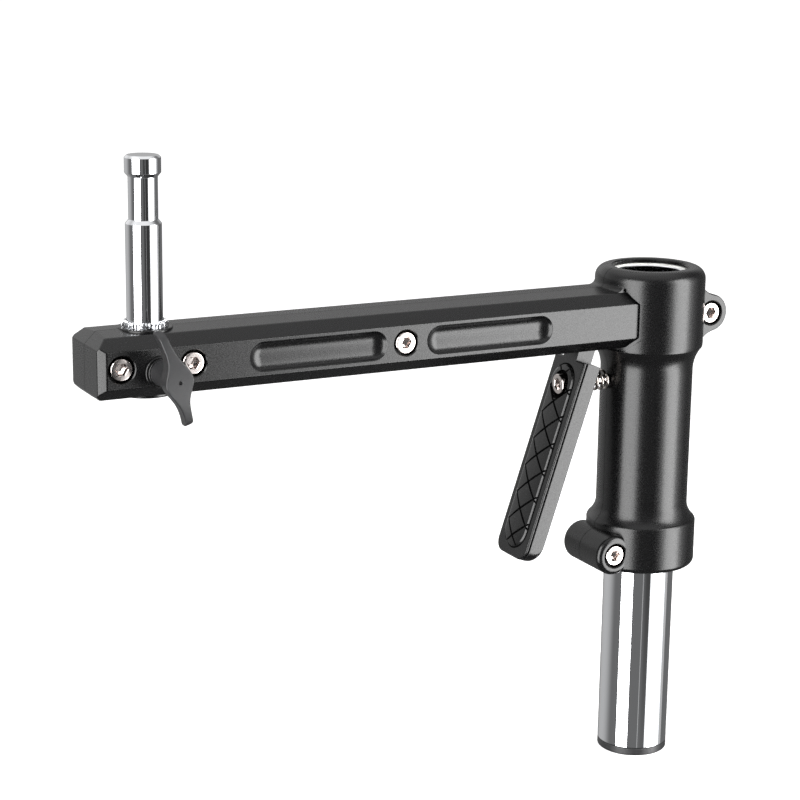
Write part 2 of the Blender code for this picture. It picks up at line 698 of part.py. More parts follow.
def make_clamp_screws(body):
    for label, (x, z, front, back) in SCREWS.items():
        top = -front + SCREW_SINK
        under_head = top + SCREW_HEAD_HEIGHT - GAP
        nut_out = back - NUT_SINK
        screw = rod(SCREW_HEAD_RADIUS, (x, top, z), (x, under_head, z))
        screw = bevelled(screw, SCREW_SINK, 2, 60)
        obj = piece(f"clamp_screw_{label}", screw, "nickel", body)
        shank = rod(SCREW_RADIUS, (x, under_head - GAP, z), (x, nut_out, z))
        combine(obj, guide(f"{label}_shank", shank), "UNION")
        socket_start = (x, top - SCREW_SINK, z)
        socket_end = (x, top + SCREW_SOCKET_DEPTH, z)
        socket = rod(across_corners(SCREW_SOCKET_FLATS), socket_start, socket_end, 6)
        combine(obj, guide(f"{label}_socket", socket), "DIFFERENCE")
        nut = rod(across_corners(NUT_FLATS), (x, nut_out - NUT_HEIGHT, z), (x, nut_out, z), 6)
        nut_obj = piece(f"clamp_nut_{label}", nut, "steel", body)
        thread = rod(SCREW_RADIUS + GAP, (x, nut_out - 2 * NUT_HEIGHT, z), (x, nut_out + NUT_HEIGHT, z))
        combine(nut_obj, guide(f"{label}_nut_thread", thread), "DIFFERENCE")


# Stud and its lock


def make_stud_socket(body):
    socket = ring(SOCKET_BORE, SOCKET_OUTER, SOCKET_BOTTOM, SOCKET_TOP, place=(STUD_X, 0, 0))
    obj = piece("stud_socket", socket, "steel", body)
    port = rod(PAD_RADIUS + GAP, (STUD_X, -2 * SOCKET_OUTER, LOCK_LEVEL), (STUD_X, 0, LOCK_LEVEL))
    combine(obj, guide("pad_port", port), "DIFFERENCE")


def make_stud(body):
    top = ARM_TOP + STUD_RISE
    cap_low = top - STUD_CAP_HEIGHT
    neck_low = top - STUD_NECK_DEPTH
    step = STUD_RADIUS - STUD_NECK_RADIUS
    shank_low = SOCKET_BOTTOM + GAP
    thread = STUD_SCREW_RADIUS + GAP
    thread_top = shank_low + STUD_SCREW_LENGTH
    profile = [
        (0, top),
        (STUD_RADIUS - STUD_CHAMFER, top),
        (STUD_RADIUS, top - STUD_CHAMFER),
        (STUD_RADIUS, cap_low),
        (STUD_NECK_RADIUS, cap_low - step),
        (STUD_NECK_RADIUS, neck_low + step),
        (STUD_RADIUS, neck_low),
        (STUD_RADIUS, shank_low + STUD_CHAMFER),
        (STUD_RADIUS - STUD_CHAMFER, shank_low),
        (thread, shank_low),
        (thread, thread_top),
        (0, thread_top),
    ]
    place = (STUD_X, 0, 0)
    piece("lamp_stud", turned(profile, place=place), "chrome", body)
    crown_low = SOCKET_TOP + GAP
    crown = ring(STUD_RADIUS + GAP, CROWN_RADIUS, crown_low, crown_low + CROWN_HEIGHT, 2 * CROWN_TEETH)
    for vertex in crown.vertices:
        spot = vertex.co
        tooth = round(math.atan2(spot.y, spot.x) / math.pi * CROWN_TEETH) % 2
        reach = Vector((spot.x, spot.y)).length
        if tooth and reach > (STUD_RADIUS + CROWN_RADIUS) / 2:
            shrink = (CROWN_RADIUS - CROWN_TOOTH_DEPTH) / CROWN_RADIUS
            vertex.co = (spot.x * shrink, spot.y * shrink, spot.z)
    crown.transform(Matrix.Translation(place))
    piece("crown_ring", crown, "chrome", body)
    washer_top = SOCKET_BOTTOM - GAP
    washer_low = washer_top - WASHER_HEIGHT
    washer = ring(thread, WASHER_RADIUS, washer_low, washer_top, place=place)
    piece("stud_washer", washer, "steel", body)
    head_top = washer_low - GAP
    head_low = head_top - STUD_SCREW_HEAD_HEIGHT
    screw_top = thread_top - GAP
    profile = [
        (0, screw_top),
        (STUD_SCREW_RADIUS, screw_top),
        (STUD_SCREW_RADIUS, head_top),
        (STUD_SCREW_HEAD_RADIUS, head_top),
        (STUD_SCREW_HEAD_RADIUS, head_low),
        (0, head_low),
    ]
    piece("stud_screw", turned(profile, SMALL_SIDES, place), "nickel", body)


def make_lock_parts(arm_body, pad_body):
    front = -ARM_HALF_WIDTH + GAP
    level = LOCK_LEVEL
    insert = rod(INSERT_RADIUS, (STUD_X, front, level), (STUD_X, front + INSERT_LENGTH, level))
    obj = piece("lock_insert", insert, "brass", arm_body)
    thread = rod(
        WING_SCREW_RADIUS + GAP, (STUD_X, -2 * ARM_HALF_WIDTH, level), (STUD_X, 0, level)
    )
    combine(obj, guide("insert_thread", thread), "DIFFERENCE")
    tip = -STUD_RADIUS - GAP
    pad = rod(PAD_RADIUS, (STUD_X, tip - PAD_LENGTH, level), (STUD_X, tip, level))
    obj = piece("pressure_pad", pad, "brass", pad_body)
    shank = rod(STUD_RADIUS + GAP, (STUD_X, 0, SOCKET_BOTTOM), (STUD_X, 0, SOCKET_TOP), SIDES)
    combine(obj, guide("stud_clearance", shank), "DIFFERENCE")


def wing_outline():
    """S-shaped outline of the wing knob, as (x, z) about its axis."""
    sides = []
    for side in (1, -1):
        edge = []
        for i in range(KNOB_STEPS + 1):
            share = 2 * i / KNOB_STEPS - 1
            swell = math.exp(-((KNOB_HUB_SPREAD * share) ** 2))
            width = KNOB_TIP_HALF_WIDTH + (KNOB_HALF_WIDTH - KNOB_TIP_HALF_WIDTH) * swell
            width *= (1 + math.sqrt(1 - share**KNOB_TIP_SQUARENESS)) / 2
            edge.append((side * width - KNOB_SWEEP * share**3, KNOB_HALF_SPAN * share))
        sides.append(edge)
    outline = sides[0] + sides[1][::-1]
    turn = Matrix.Rotation(KNOB_TILT, 2)
    return [tuple(turn @ Vector(point)) for point in outline]


def make_wing(body):
    face = -ARM_HALF_WIDTH
    outer = face - KNOB_OUT
    back = outer + KNOB_DEPTH
    hub_inner = face - COLLAR_HEIGHT - GAP
    outline = [(STUD_X + x, LOCK_LEVEL + z) for x, z in wing_outline()]
    wings = slab(outline, outer, back, "wing_knob")
    axis = Vector((STUD_X, LOCK_LEVEL))
    for vertex in wings.vertices:
        if vertex.co.y < back - GAP:
            share = (vertex.co.xz - axis).length / KNOB_HALF_SPAN
            vertex.co.y += KNOB_CROWN * share**2
    obj = piece("wing_knob", bevelled(wings, KNOB_EDGE, 1, 60), "black_plastic", body)
    hub_start = (STUD_X, outer + KNOB_DEPTH / 2, LOCK_LEVEL)
    hub = rod(KNOB_HUB_RADIUS, hub_start, (STUD_X, hub_inner, LOCK_LEVEL))
    combine(obj, guide("knob_hub", hub), "UNION")
    shank_end = -STUD_RADIUS - 2 * GAP - PAD_LENGTH
    shank_start = outer + KNOB_DEPTH / 2
    seat_start = (STUD_X, shank_start - GAP, LOCK_LEVEL)
    seat = rod(WING_SCREW_RADIUS + GAP, seat_start, (STUD_X, face, LOCK_LEVEL))
    combine(obj, guide("knob_bore", seat), "DIFFERENCE")
    shank = rod(WING_SCREW_RADIUS, (STUD_X, shank_start, LOCK_LEVEL), (STUD_X, shank_end, LOCK_LEVEL))
    piece("wing_screw", shank, "steel", body)


# Lever, spring and brake


def lever_plate():
    """The squeezed plate, with rounded lower corners and a thinner lower end."""
    low = (-LEVER_OUTER, -LEVER_HALF_WIDTH, -LEVER_END)
    high = (LEVER_INNER_START, LEVER_HALF_WIDTH, -LEVER_START)
    bm = bmesh.new()
    bm.from_mesh(box(low, high))
    corners = [e for e in bm.edges if all(abs(v.co.z + LEVER_END) < GAP for v in e.verts)]
    corners = [e for e in corners if abs((e.verts[0].co - e.verts[1].co).x) > GAP]
    bmesh.ops.bevel(
        bm, geom=corners, offset=LEVER_CORNER, segments=ARC_STEPS, profile=0.5, affect="EDGES", material=-1
    )
    fall = LEVER_INNER_START - LEVER_INNER_END
    slice_off(bm, (LEVER_INNER_START, 0, -LEVER_START), (LEVER_END - LEVER_START, 0, -fall))
    return bevelled(mesh_from(bm, "lever"), LEVER_EDGE, 1, 30)


def lever_face_x(level, outward):
    """World X at a height of a plane of the lever, outward of the line through its pivot."""
    below = (PIVOT.z - level) / math.cos(LEVER_TILT)
    return PIVOT_X - below * math.sin(LEVER_TILT) - outward / math.cos(LEVER_TILT)


def lever_thickness(level):
    """From the line through the pivot to the inner face, at a height."""
    below = (PIVOT.z - level) / math.cos(LEVER_TILT)
    share = (below - LEVER_START) / (LEVER_END - LEVER_START)
    return LEVER_INNER_START + (LEVER_INNER_END - LEVER_INNER_START) * share


def bolt_head_x():
    """World X of the stop bolt's outer face."""
    return lever_face_x(BOLT_LEVEL, LEVER_OUTER) - BOLT_HEAD_PROUD


def grip_outline(margin):
    """Long outline with round ends, as (y, z) in the lever's own frame."""
    half = GRIP_HALF_WIDTH - margin
    outline = []
    for centre, first in ((-GRIP_START - GRIP_HALF_WIDTH, 0), (-GRIP_END + GRIP_HALF_WIDTH, 180)):
        for i in range(2 * ARC_STEPS + 1):
            angle = math.radians(first + 180 * i / (2 * ARC_STEPS))
            outline.append((half * math.cos(angle), centre + half * math.sin(angle)))
    return outline


def grip_slab(margin, low, high, name):
    """The grip's outline as a solid between two places along the lever's own X."""
    mesh = slab(grip_outline(margin), low, high, name)
    mesh.transform(Matrix.Rotation(-math.pi / 2, 4, "Z"))
    return mesh


def make_lever(body):
    plate = lever_plate()
    plate.transform(TO_LEVER)
    obj = piece("brake_lever", plate, "black_paint", body)
    width = TONGUE_HALF_WIDTH
    hub = rod(HUB_RADIUS, (0, -width, 0), (0, width, 0))
    tongue_low = (-LEVER_OUTER, -width, -LEVER_START - TONGUE_OVERLAP)
    tongue = box(tongue_low, (TONGUE_THICKNESS - LEVER_OUTER, width, 0))
    hub.transform(TO_LEVER)
    tongue.transform(TO_LEVER)
    nose_place = PIVOT + Vector((0, 0, NOSE_RISE))
    nose = rod(NOSE_RADIUS, nose_place - width * Y_AXIS, nose_place + width * Y_AXIS)
    neck_low = PIVOT + Vector((-NECK_HALF_THICKNESS, -width, 0))
    neck_high = PIVOT + Vector((NECK_HALF_THICKNESS, width, NOSE_RISE))
    for name, solid in (
        ("lever_tongue", tongue),
        ("lever_hub", hub),
        ("lever_neck", box(neck_low, neck_high)),
        ("lever_nose", nose),
    ):
        combine(obj, guide(name, solid), "UNION")
    pin = rod(
        PIVOT_PIN_RADIUS + GAP, PIVOT - 2 * width * Y_AXIS, PIVOT + 2 * width * Y_AXIS
    )
    combine(obj, guide("lever_pin_hole", pin), "DIFFERENCE")
    recess = grip_slab(0, -LEVER_OUTER - GRIP_DEPTH, -LEVER_OUTER + GRIP_DEPTH, "grip_recess")
    recess.transform(TO_LEVER)
    combine(obj, guide("grip_recess", recess), "DIFFERENCE")
    head_x = bolt_head_x()
    counterbore = rod(
        BOLT_RECESS_RADIUS,
        (head_x - BOLT_HEAD_HEIGHT, 0, BOLT_LEVEL),
        (head_x + BOLT_HEAD_HEIGHT + GAP, 0, BOLT_LEVEL),
    )
    combine(obj, guide("bolt_counterbore", counterbore), "DIFFERENCE")
    slot_low = (head_x, -BOLT_SLOT_HALF_WIDTH, BOLT_LEVEL - BOLT_SLOT_HALF_HEIGHT)
    slot_high = (-WAIST_RADIUS, BOLT_SLOT_HALF_WIDTH, BOLT_LEVEL + BOLT_SLOT_HALF_HEIGHT)
    combine(obj, guide("bolt_slot", box(slot_low, slot_high)), "DIFFERENCE")
    make_grip(body, counterbore)


def make_grip(body, bolt_room):
    """Rubber pad with crossed grooves, let into the lever's outer face."""
    floor = -LEVER_OUTER + GRIP_DEPTH - GAP
    grip = grip_slab(GAP, -LEVER_OUTER - GRIP_PROUD, floor, "lever_grip")
    grip.transform(TO_LEVER)
    obj = piece("lever_grip", grip, "black_rubber", body)
    combine(obj, guide("grip_bolt_room", bolt_room.copy()), "DIFFERENCE")
    grooves = bmesh.new()
    middle = -(GRIP_START + GRIP_END) / 2
    reach = GRIP_END - GRIP_START
    count = int(reach / 2 / GRIP_PITCH) + 1
    for lean in (GRIP_LEAN, -GRIP_LEAN):
        for i in range(-count, count + 1):
            bar = bmesh.ops.create_cube(grooves, size=1)["verts"]
            size = (2 * GRIP_GROOVE_DEPTH, 4 * GRIP_HALF_WIDTH, GRIP_GROOVE)
            bmesh.ops.scale(grooves, vec=size, verts=bar)
            bmesh.ops.rotate(grooves, cent=(0, 0, 0), matrix=Matrix.Rotation(lean, 3, "X"), verts=bar)
            place = (-LEVER_OUTER - GRIP_PROUD, 0, middle + i * GRIP_PITCH)
            bmesh.ops.translate(grooves, vec=place, verts=bar)
    cutter = mesh_from(grooves, "grip_grooves")
    cutter.transform(TO_LEVER)
    step = guide("grip_grooves", cutter)
    combine(obj, step, "DIFFERENCE")
    obj.modifiers[-1].use_self = True


def make_pivot_pin(body):
    reach = PIVOT_PIN_HALF_LENGTH * Y_AXIS
    piece("lever_pivot_pin", rod(PIVOT_PIN_RADIUS, PIVOT - reach, PIVOT + reach), "steel", body)


def make_stop_bolt(body):
    nut_out = BORE_RADIUS + BOLT_NUT_HEIGHT
    nut_in = BORE_RADIUS
    head_x = bolt_head_x()
    head_under = head_x + BOLT_HEAD_HEIGHT
    head = rod(BOLT_HEAD_RADIUS, (head_x, 0, BOLT_LEVEL), (head_under, 0, BOLT_LEVEL))
    obj = piece("stop_bolt", bevelled(head, SCREW_SINK, 2, 60), "nickel", body)
    shank = rod(BOLT_RADIUS, (head_under - GAP, 0, BOLT_LEVEL), (-nut_in, 0, BOLT_LEVEL))
    combine(obj, guide("stop_bolt_shank", shank), "UNION")
    socket_start = (head_x - SCREW_SINK, 0, BOLT_LEVEL)
    socket_end = (head_x + SCREW_SOCKET_DEPTH, 0, BOLT_LEVEL)
    socket = rod(across_corners(SCREW_SOCKET_FLATS), socket_start, socket_end, 6)
    combine(obj, guide("stop_bolt_socket", socket), "DIFFERENCE")
    nut = rod(across_corners(BOLT_NUT_FLATS), (-nut_out, 0, BOLT_LEVEL), (-nut_in, 0, BOLT_LEVEL), 6)
    obj = piece("stop_bolt_nut", nut, "steel", body)
    thread = rod(BOLT_RADIUS + GAP, (-2 * nut_out, 0, BOLT_LEVEL), (0, 0, BOLT_LEVEL))
    combine(obj, guide("stop_bolt_thread", thread), "DIFFERENCE")


def make_spring(body):
    """Return spring, coiled round the stop bolt between lever and sleeve."""
    lean_room = (SPRING_RADIUS + SPRING_WIRE) * math.tan(LEVER_TILT)
    inner_face = lever_face_x(BOLT_LEVEL, -lever_thickness(BOLT_LEVEL))
    start = inner_face + lean_room + SPRING_WIRE + GAP
    end = -WAIST_RADIUS - SPRING_WIRE - GAP
    count = SPRING_TURNS * SPRING_POINTS
    curve = bpy.data.curves.new("lever_spring", "CURVE")
    curve.dimensions = "3D"
    curve.bevel_depth = SPRING_WIRE
    curve.bevel_resolution = 2
    curve.use_fill_caps = True
    spline = curve.splines.new("POLY")
    spline.points.add(count)
    for i, point in enumerate(spline.points):
        angle = 2 * math.pi * i / SPRING_POINTS
        x = start + (end - start) * i / count
        y = SPRING_RADIUS * math.cos(angle)
        z = BOLT_LEVEL + SPRING_RADIUS * math.sin(angle)
        point.co = (*(Vector((x, y, z)) - WORLD_PLACES[body.name]), 1)
    obj = bpy.data.objects.new("lever_spring", curve)
    PARTS.objects.link(obj)
    curve.materials.append(finish("steel"))
    obj.parent = body


def make_brake(body):
    low = (BLOCK_BACK, -BLOCK_HALF_WIDTH, BLOCK_LOW)
    high = (BLOCK_FRONT, BLOCK_HALF_WIDTH, BLOCK_HIGH)
    obj = piece("brake_block", box(low, high), "steel", body)
    room = NOSE_RADIUS + GAP
    slot_low = (PIVOT_X - room, -TONGUE_HALF_WIDTH - GAP, BLOCK_LOW - room)
    slot_high = (PIVOT_X + room, TONGUE_HALF_WIDTH + GAP, PIVOT.z + NOSE_RISE + room + GAP)
    combine(obj, guide("nose_slot", box(slot_low, slot_high)), "DIFFERENCE")
    margin = LINING_MARGIN
    low = (LINING_BACK, -BLOCK_HALF_WIDTH + margin, BLOCK_LOW + margin)
    high = (-TUBE_RADIUS / 2, BLOCK_HALF_WIDTH - margin, BLOCK_HIGH - margin)
    obj = piece("brake_lining", box(low, high), "lining", body)
    tube = rod(TUBE_RADIUS + GAP, (0, 0, SLEEVE_LOW), (0, 0, SLEEVE_TOP), SIDES)
    combine(obj, guide("tube_clearance", tube), "DIFFERENCE")


clear_scene()
WORLD_PLACES = {}
PARTS = new_collection("stand_side_arm")
CUTTERS = new_collection("cutters")

column = empty("column_frame")
guides = empty("arm_slide_frame", (0, 0, SLEEVE_LOW), column)
arm = empty("arm_swivel_frame", (0, 0, SLEEVE_LOW), guides)
stud = empty("stud_turn_frame", (STUD_X, 0, SOCKET_TOP), arm)
lock_pad = empty("lock_pad_frame", (STUD_X, -STUD_RADIUS, LOCK_LEVEL), arm)
wing = empty("wing_turn_frame", (STUD_X, -ARM_HALF_WIDTH, LOCK_LEVEL), lock_pad)
lever = empty("lever_frame", PIVOT, arm)
brake = empty("brake_frame", (BLOCK_FRONT, 0, PIVOT.z + NOSE_RISE), arm)

make_column(column)
make_bushes(guides)
make_castings(arm)
make_clamp_screws(arm)
make_stud_socket(arm)
make_pivot_pin(arm)
make_stop_bolt(arm)
make_spring(arm)
make_lock_parts(arm, lock_pad)
make_stud(stud)
make_wing(wing)
make_lever(lever)
make_brake(brake)
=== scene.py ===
"""Looks of the side arm of a lighting stand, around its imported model.

The pieces follow in the order the arm is put together: column, castings, screws, stud, wing knob, lever
and brake. Units are metres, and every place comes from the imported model's own boxes.
"""

import math

import bmesh
import bpy
from mathutils import Matrix, Vector


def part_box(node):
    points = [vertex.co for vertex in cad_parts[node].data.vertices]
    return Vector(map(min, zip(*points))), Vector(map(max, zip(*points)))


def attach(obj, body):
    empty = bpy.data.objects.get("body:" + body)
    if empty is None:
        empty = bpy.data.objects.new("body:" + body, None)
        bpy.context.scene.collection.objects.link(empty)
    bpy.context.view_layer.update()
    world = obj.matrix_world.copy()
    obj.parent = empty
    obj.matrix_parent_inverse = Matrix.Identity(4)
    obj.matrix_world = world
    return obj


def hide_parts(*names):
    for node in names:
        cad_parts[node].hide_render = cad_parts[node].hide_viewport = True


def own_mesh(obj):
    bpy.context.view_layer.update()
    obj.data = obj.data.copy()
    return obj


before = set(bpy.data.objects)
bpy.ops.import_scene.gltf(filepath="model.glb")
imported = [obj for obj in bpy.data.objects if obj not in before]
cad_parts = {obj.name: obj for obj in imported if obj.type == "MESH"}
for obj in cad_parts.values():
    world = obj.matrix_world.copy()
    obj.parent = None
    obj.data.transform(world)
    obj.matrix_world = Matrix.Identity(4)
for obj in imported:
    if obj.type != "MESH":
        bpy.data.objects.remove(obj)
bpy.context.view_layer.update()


# Stage
# A pale floor, two tall soft boxes beside the camera and a dim studio round them. The camera stands
# where the arm is seen from its front left, a little from above.

CAMERA_PLACE = Vector((-0.59182, -0.87647, 0.43619))
CAMERA_YAW = math.radians(27.412)
CAMERA_PITCH = math.radians(13.678)
CAMERA_ROLL = math.radians(0.776)
CAMERA_LENS = 97.83
FLOOR_RADIUS = 9.0
LEFT_BOX = ((-1.021, -0.885), (-1.350, -0.060))  # plan points of its two upright edges
RIGHT_BOX = ((0.213, -1.344), (1.250, -0.500))
BOX_LOW, BOX_HIGH = -0.75, 1.15
LEFT_LIGHT = 7.0
RIGHT_LIGHT = 9.0
RIGHT_CORE = ((0.426, -1.171), (1.002, -0.702))  # the right box is dimmer outside these
FRINGE_LIGHT = 1.3
DAYLIGHT = 0.5  # on matt faces, all round
ROOM_SIDES, ROOM_DARK = 0.15, 0.04  # the room in shiny faces, and its dark gap between the boxes
ROOM_WALL = 0.35  # added towards the wall behind the arm
ROOM_RISE = 0.4  # and above that wall's foot
ROOM_CEILING = 0.8


def place_camera():
    ahead = Vector(
        (
            math.sin(CAMERA_YAW) * math.cos(CAMERA_PITCH),
            math.cos(CAMERA_YAW) * math.cos(CAMERA_PITCH),
            -math.sin(CAMERA_PITCH),
        )
    )
    level = Vector((math.cos(CAMERA_YAW), -math.sin(CAMERA_YAW), 0))
    upright = level.cross(ahead)
    right = math.cos(CAMERA_ROLL) * level + math.sin(CAMERA_ROLL) * upright
    up = right.cross(ahead)
    turn = Matrix((right, up, -ahead)).transposed().to_4x4()
    camera = bpy.data.objects.new("camera", bpy.data.cameras.new("camera"))
    bpy.context.scene.collection.objects.link(camera)
    camera.matrix_world = Matrix.Translation(CAMERA_PLACE) @ turn
    camera.data.lens = CAMERA_LENS
    camera.data.sensor_width = 36.0
    bpy.context.scene.camera = camera


def soft_box(name, edges, brightness, low=BOX_LOW, high=BOX_HIGH):
    """An upright light panel between two plan points, facing the arm."""
    (x0, y0), (x1, y1) = edges
    span = Vector((x1 - x0, y1 - y0, 0))
    centre = Vector(((x0 + x1) / 2, (y0 + y1) / 2, (low + high) / 2))
    facing = span.cross(Vector((0, 0, 1))).normalized()
    if facing.dot(centre) > 0:
        facing = -facing
    light = bpy.data.lights.new(name, "AREA")
    light.shape = "RECTANGLE"
    light.size = span.length
    light.size_y = high - low
    light.energy = brightness * math.pi * light.size * light.size_y
    panel = bpy.data.objects.new(name, light)
    bpy.context.scene.collection.objects.link(panel)
    panel.matrix_world = Matrix.Translation(centre) @ facing.to_track_quat("-Z", "Y").to_matrix().to_4x4()
    panel.visible_camera = False


def studio_world():
    """White behind the arm, soft daylight on matt faces, and a dim room in shiny ones."""
    world = bpy.data.worlds.new("studio")
    bpy.context.scene.world = world
    world.use_nodes = True
    nodes, links = world.node_tree.nodes, world.node_tree.links
    nodes.clear()

    def towards(direction):
        dot = nodes.new("ShaderNodeVectorMath")
        dot.operation = "DOT_PRODUCT"
        dot.inputs[1].default_value = direction
        links.new(spot.outputs["Generated"], dot.inputs[0])
        return dot.outputs["Value"]

    def ramp(value, start, end, low, high):
        spread = nodes.new("ShaderNodeMapRange")
        spread.interpolation_type = "SMOOTHSTEP"
        spread.inputs["From Min"].default_value = start
        spread.inputs["From Max"].default_value = end
        spread.inputs["To Min"].default_value = low
        spread.inputs["To Max"].default_value = high
        links.new(value, spread.inputs["Value"])
        return spread.outputs["Result"]

    def combine(operation, first, second):
        maths = nodes.new("ShaderNodeMath")
        maths.operation = operation
        links.new(first, maths.inputs[0])
        links.new(second, maths.inputs[1])
        return maths.outputs["Value"]

    def background(strength):
        shader = nodes.new("ShaderNodeBackground")
        shader.inputs["Color"].default_value = (1, 1, 1, 1)
        shader.inputs["Strength"].default_value = strength
        return shader

    def either(choice, first, second):
        mix = nodes.new("ShaderNodeMixShader")
        links.new(choice, mix.inputs["Fac"])
        links.new(first.outputs[0], mix.inputs[1])
        links.new(second.outputs[0], mix.inputs[2])
        return mix

    spot = nodes.new("ShaderNodeTexCoord")
    path = nodes.new("ShaderNodeLightPath")
    behind = towards((-0.34, 0.94, 0.0))
    around = ramp(towards((0.03, -1.0, 0.0)), 0.90, 0.97, ROOM_SIDES, ROOM_DARK)
    wall = ramp(behind, 0.6, 1.0, 0.0, ROOM_WALL)
    ceiling = ramp(towards((0, 0, 1)), 0.6, 0.95, 0.0, ROOM_CEILING)
    above = ramp(towards((0, 0, 1)), 0.02, 0.25, 0.0, ROOM_RISE)
    rise = combine("MULTIPLY", above, ramp(behind, 0.0, 0.5, 0.0, 1.0))
    room = background(1.0)
    glow = combine("ADD", combine("ADD", around, wall), combine("ADD", ceiling, rise))
    links.new(glow, room.inputs["Strength"])
    lit = either(path.outputs["Is Glossy Ray"], background(DAYLIGHT), room)
    seen = either(path.outputs["Is Camera Ray"], lit, background(1.0))
    out = nodes.new("ShaderNodeOutputWorld")
    links.new(seen.outputs[0], out.inputs["Surface"])


def lay_floor():
    bm = bmesh.new()
    bmesh.ops.create_circle(bm, cap_ends=True, segments=96, radius=FLOOR_RADIUS)
    mesh = bpy.data.meshes.new("floor")
    bm.to_mesh(mesh)
    bm.free()
    floor = bpy.data.objects.new("floor", mesh)
    bpy.context.scene.collection.objects.link(floor)
    paper = bpy.data.materials.new("pale_floor")
    paper.use_nodes = True
    shader = paper.node_tree.nodes["Principled BSDF"]
    shader.inputs["Base Color"].default_value = (0.93, 0.93, 0.93, 1)
    shader.inputs["Roughness"].default_value = 0.9
    shader.inputs["Specular IOR Level"].default_value = 0.0
    shader.inputs["Emission Color"].default_value = (1, 1, 1, 1)
    shader.inputs["Emission Strength"].default_value = 0.6
    floor.data.materials.append(paper)
    floor.visible_glossy = False


place_camera()
soft_box("left_soft_box", LEFT_BOX, LEFT_LIGHT)
soft_box("right_soft_box", RIGHT_CORE, RIGHT_LIGHT)
soft_box("right_soft_box_near_edge", (RIGHT_BOX[0], RIGHT_CORE[0]), FRINGE_LIGHT)
soft_box("right_soft_box_far_edge", (RIGHT_CORE[1], RIGHT_BOX[1]), FRINGE_LIGHT)
soft_box("side_card", ((1.26, -0.49), (1.43, -0.22)), 0.35)
soft_box("camera_side_strip", ((-0.352, -1.417), (-0.404, -1.403)), 0.3)
studio_world()
lay_floor()
bpy.context.scene.view_settings.view_transform = "Standard"


# Column
# A drawn steel tube, 35 mm across, polished and chromed outside and left rough inside. It is cut square
# and its two edges are broken. The other turned pieces are spun in the same way.

TUBE_EDGE = 0.0004
ROUND_STEPS = 120


def ring_of(bm, points):
    """A closed loop of edges through the points."""
    verts = [bm.verts.new(point) for point in points]
    return [bm.edges.new((verts[i], verts[(i + 1) % len(verts)])) for i in range(len(verts))]


def spun(outline, place=(0, 0, 0), steps=ROUND_STEPS):
    """An outline of (radius, height) turned about an upright axis."""
    bm = bmesh.new()
    verts = [bm.verts.new((radius, 0, height)) for radius, height in outline]
    edges = [bm.edges.new(pair) for pair in zip(verts, verts[1:])]
    if outline[0][0] > 0:
        edges.append(bm.edges.new((verts[-1], verts[0])))
    bmesh.ops.spin(
        bm, geom=verts + edges, cent=(0, 0, 0), axis=(0, 0, 1), angle=2 * math.pi, steps=steps, use_merge=True
    )
    bmesh.ops.remove_doubles(bm, verts=bm.verts, dist=0.00001)
    bmesh.ops.translate(bm, vec=place, verts=bm.verts)
    bmesh.ops.recalc_face_normals(bm, faces=bm.faces)
    return bm


def arc(centre, radius, start, end, steps=6):
    """Points of an arc between two angles in degrees."""
    points = []
    for i in range(steps + 1):
        angle = math.radians(start + (end - start) * i / steps)
        points.append((centre[0] + radius * math.cos(angle), centre[1] + radius * math.sin(angle)))
    return points


def fit_piece(made, name, body, finish, slot, *nodes, sharp=28):
    """Puts a finished mesh on the arm, in place of its plain model."""
    if isinstance(made, bmesh.types.BMesh):
        mesh = bpy.data.meshes.new(name)
        made.to_mesh(mesh)
        made.free()
    else:
        mesh = made
    mesh.shade_smooth()
    mesh.set_sharp_from_angle(angle=math.radians(sharp))
    mesh.materials.clear()
    for material in finish if isinstance(finish, list) else [finish]:
        mesh.materials.append(material)
    piece = bpy.data.objects.new(name, mesh)
    bpy.context.scene.collection.objects.link(piece)
    weighted = piece.modifiers.new("even_shading", "WEIGHTED_NORMAL")
    weighted.keep_sharp = True
    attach(piece, body)
    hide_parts(*nodes)
    return piece


def plain_finish(name, colour, metallic, roughness):
    """A material with one colour, and the shader that its pattern is wired to."""
    material = bpy.data.materials.new(name)
    material.use_nodes = True
    shader = material.node_tree.nodes["Principled BSDF"]
    shader.inputs["Base Color"].default_value = (*colour, 1)
    shader.inputs["Metallic"].default_value = metallic
    shader.inputs["Roughness"].default_value = roughness
    return material, shader


def speckle(material, scale, stretch=(1, 1, 1), detail=2.0):
    """Fine noise in the piece's own space."""
    nodes, links = material.node_tree.nodes, material.node_tree.links
    place = nodes.new("ShaderNodeTexCoord")
    mapping = nodes.new("ShaderNodeMapping")
    mapping.inputs["Scale"].default_value = stretch
    noise = nodes.new("ShaderNodeTexNoise")
    noise.inputs["Scale"].default_value = scale
    noise.inputs["Detail"].default_value = detail
    links.new(place.outputs["Object"], mapping.inputs["Vector"])
    links.new(mapping.outputs["Vector"], noise.inputs["Vector"])
    return noise.outputs["Fac"]


def vary(material, pattern, socket, low, high, start=0.35, end=0.65):
    """Drives a shader socket between two values by a pattern."""
    nodes, links = material.node_tree.nodes, material.node_tree.links
    spread = nodes.new("ShaderNodeMapRange")
    spread.inputs["From Min"].default_value = start
    spread.inputs["From Max"].default_value = end
    spread.inputs["To Min"].default_value = low
    spread.inputs["To Max"].default_value = high
    links.new(pattern, spread.inputs["Value"])
    links.new(spread.outputs["Result"], socket)


def raise_grain(material, shader, pattern, height, strength=1.0):
    """Bumps the surface by a pattern, height metres from lowest to highest."""
    nodes, links = material.node_tree.nodes, material.node_tree.links
    bump = nodes.new("ShaderNodeBump")
    bump.inputs["Strength"].default_value = strength
    bump.inputs["Distance"].default_value = height
    links.new(pattern, bump.inputs["Height"])
    links.new(bump.outputs["Normal"], shader.inputs["Normal"])


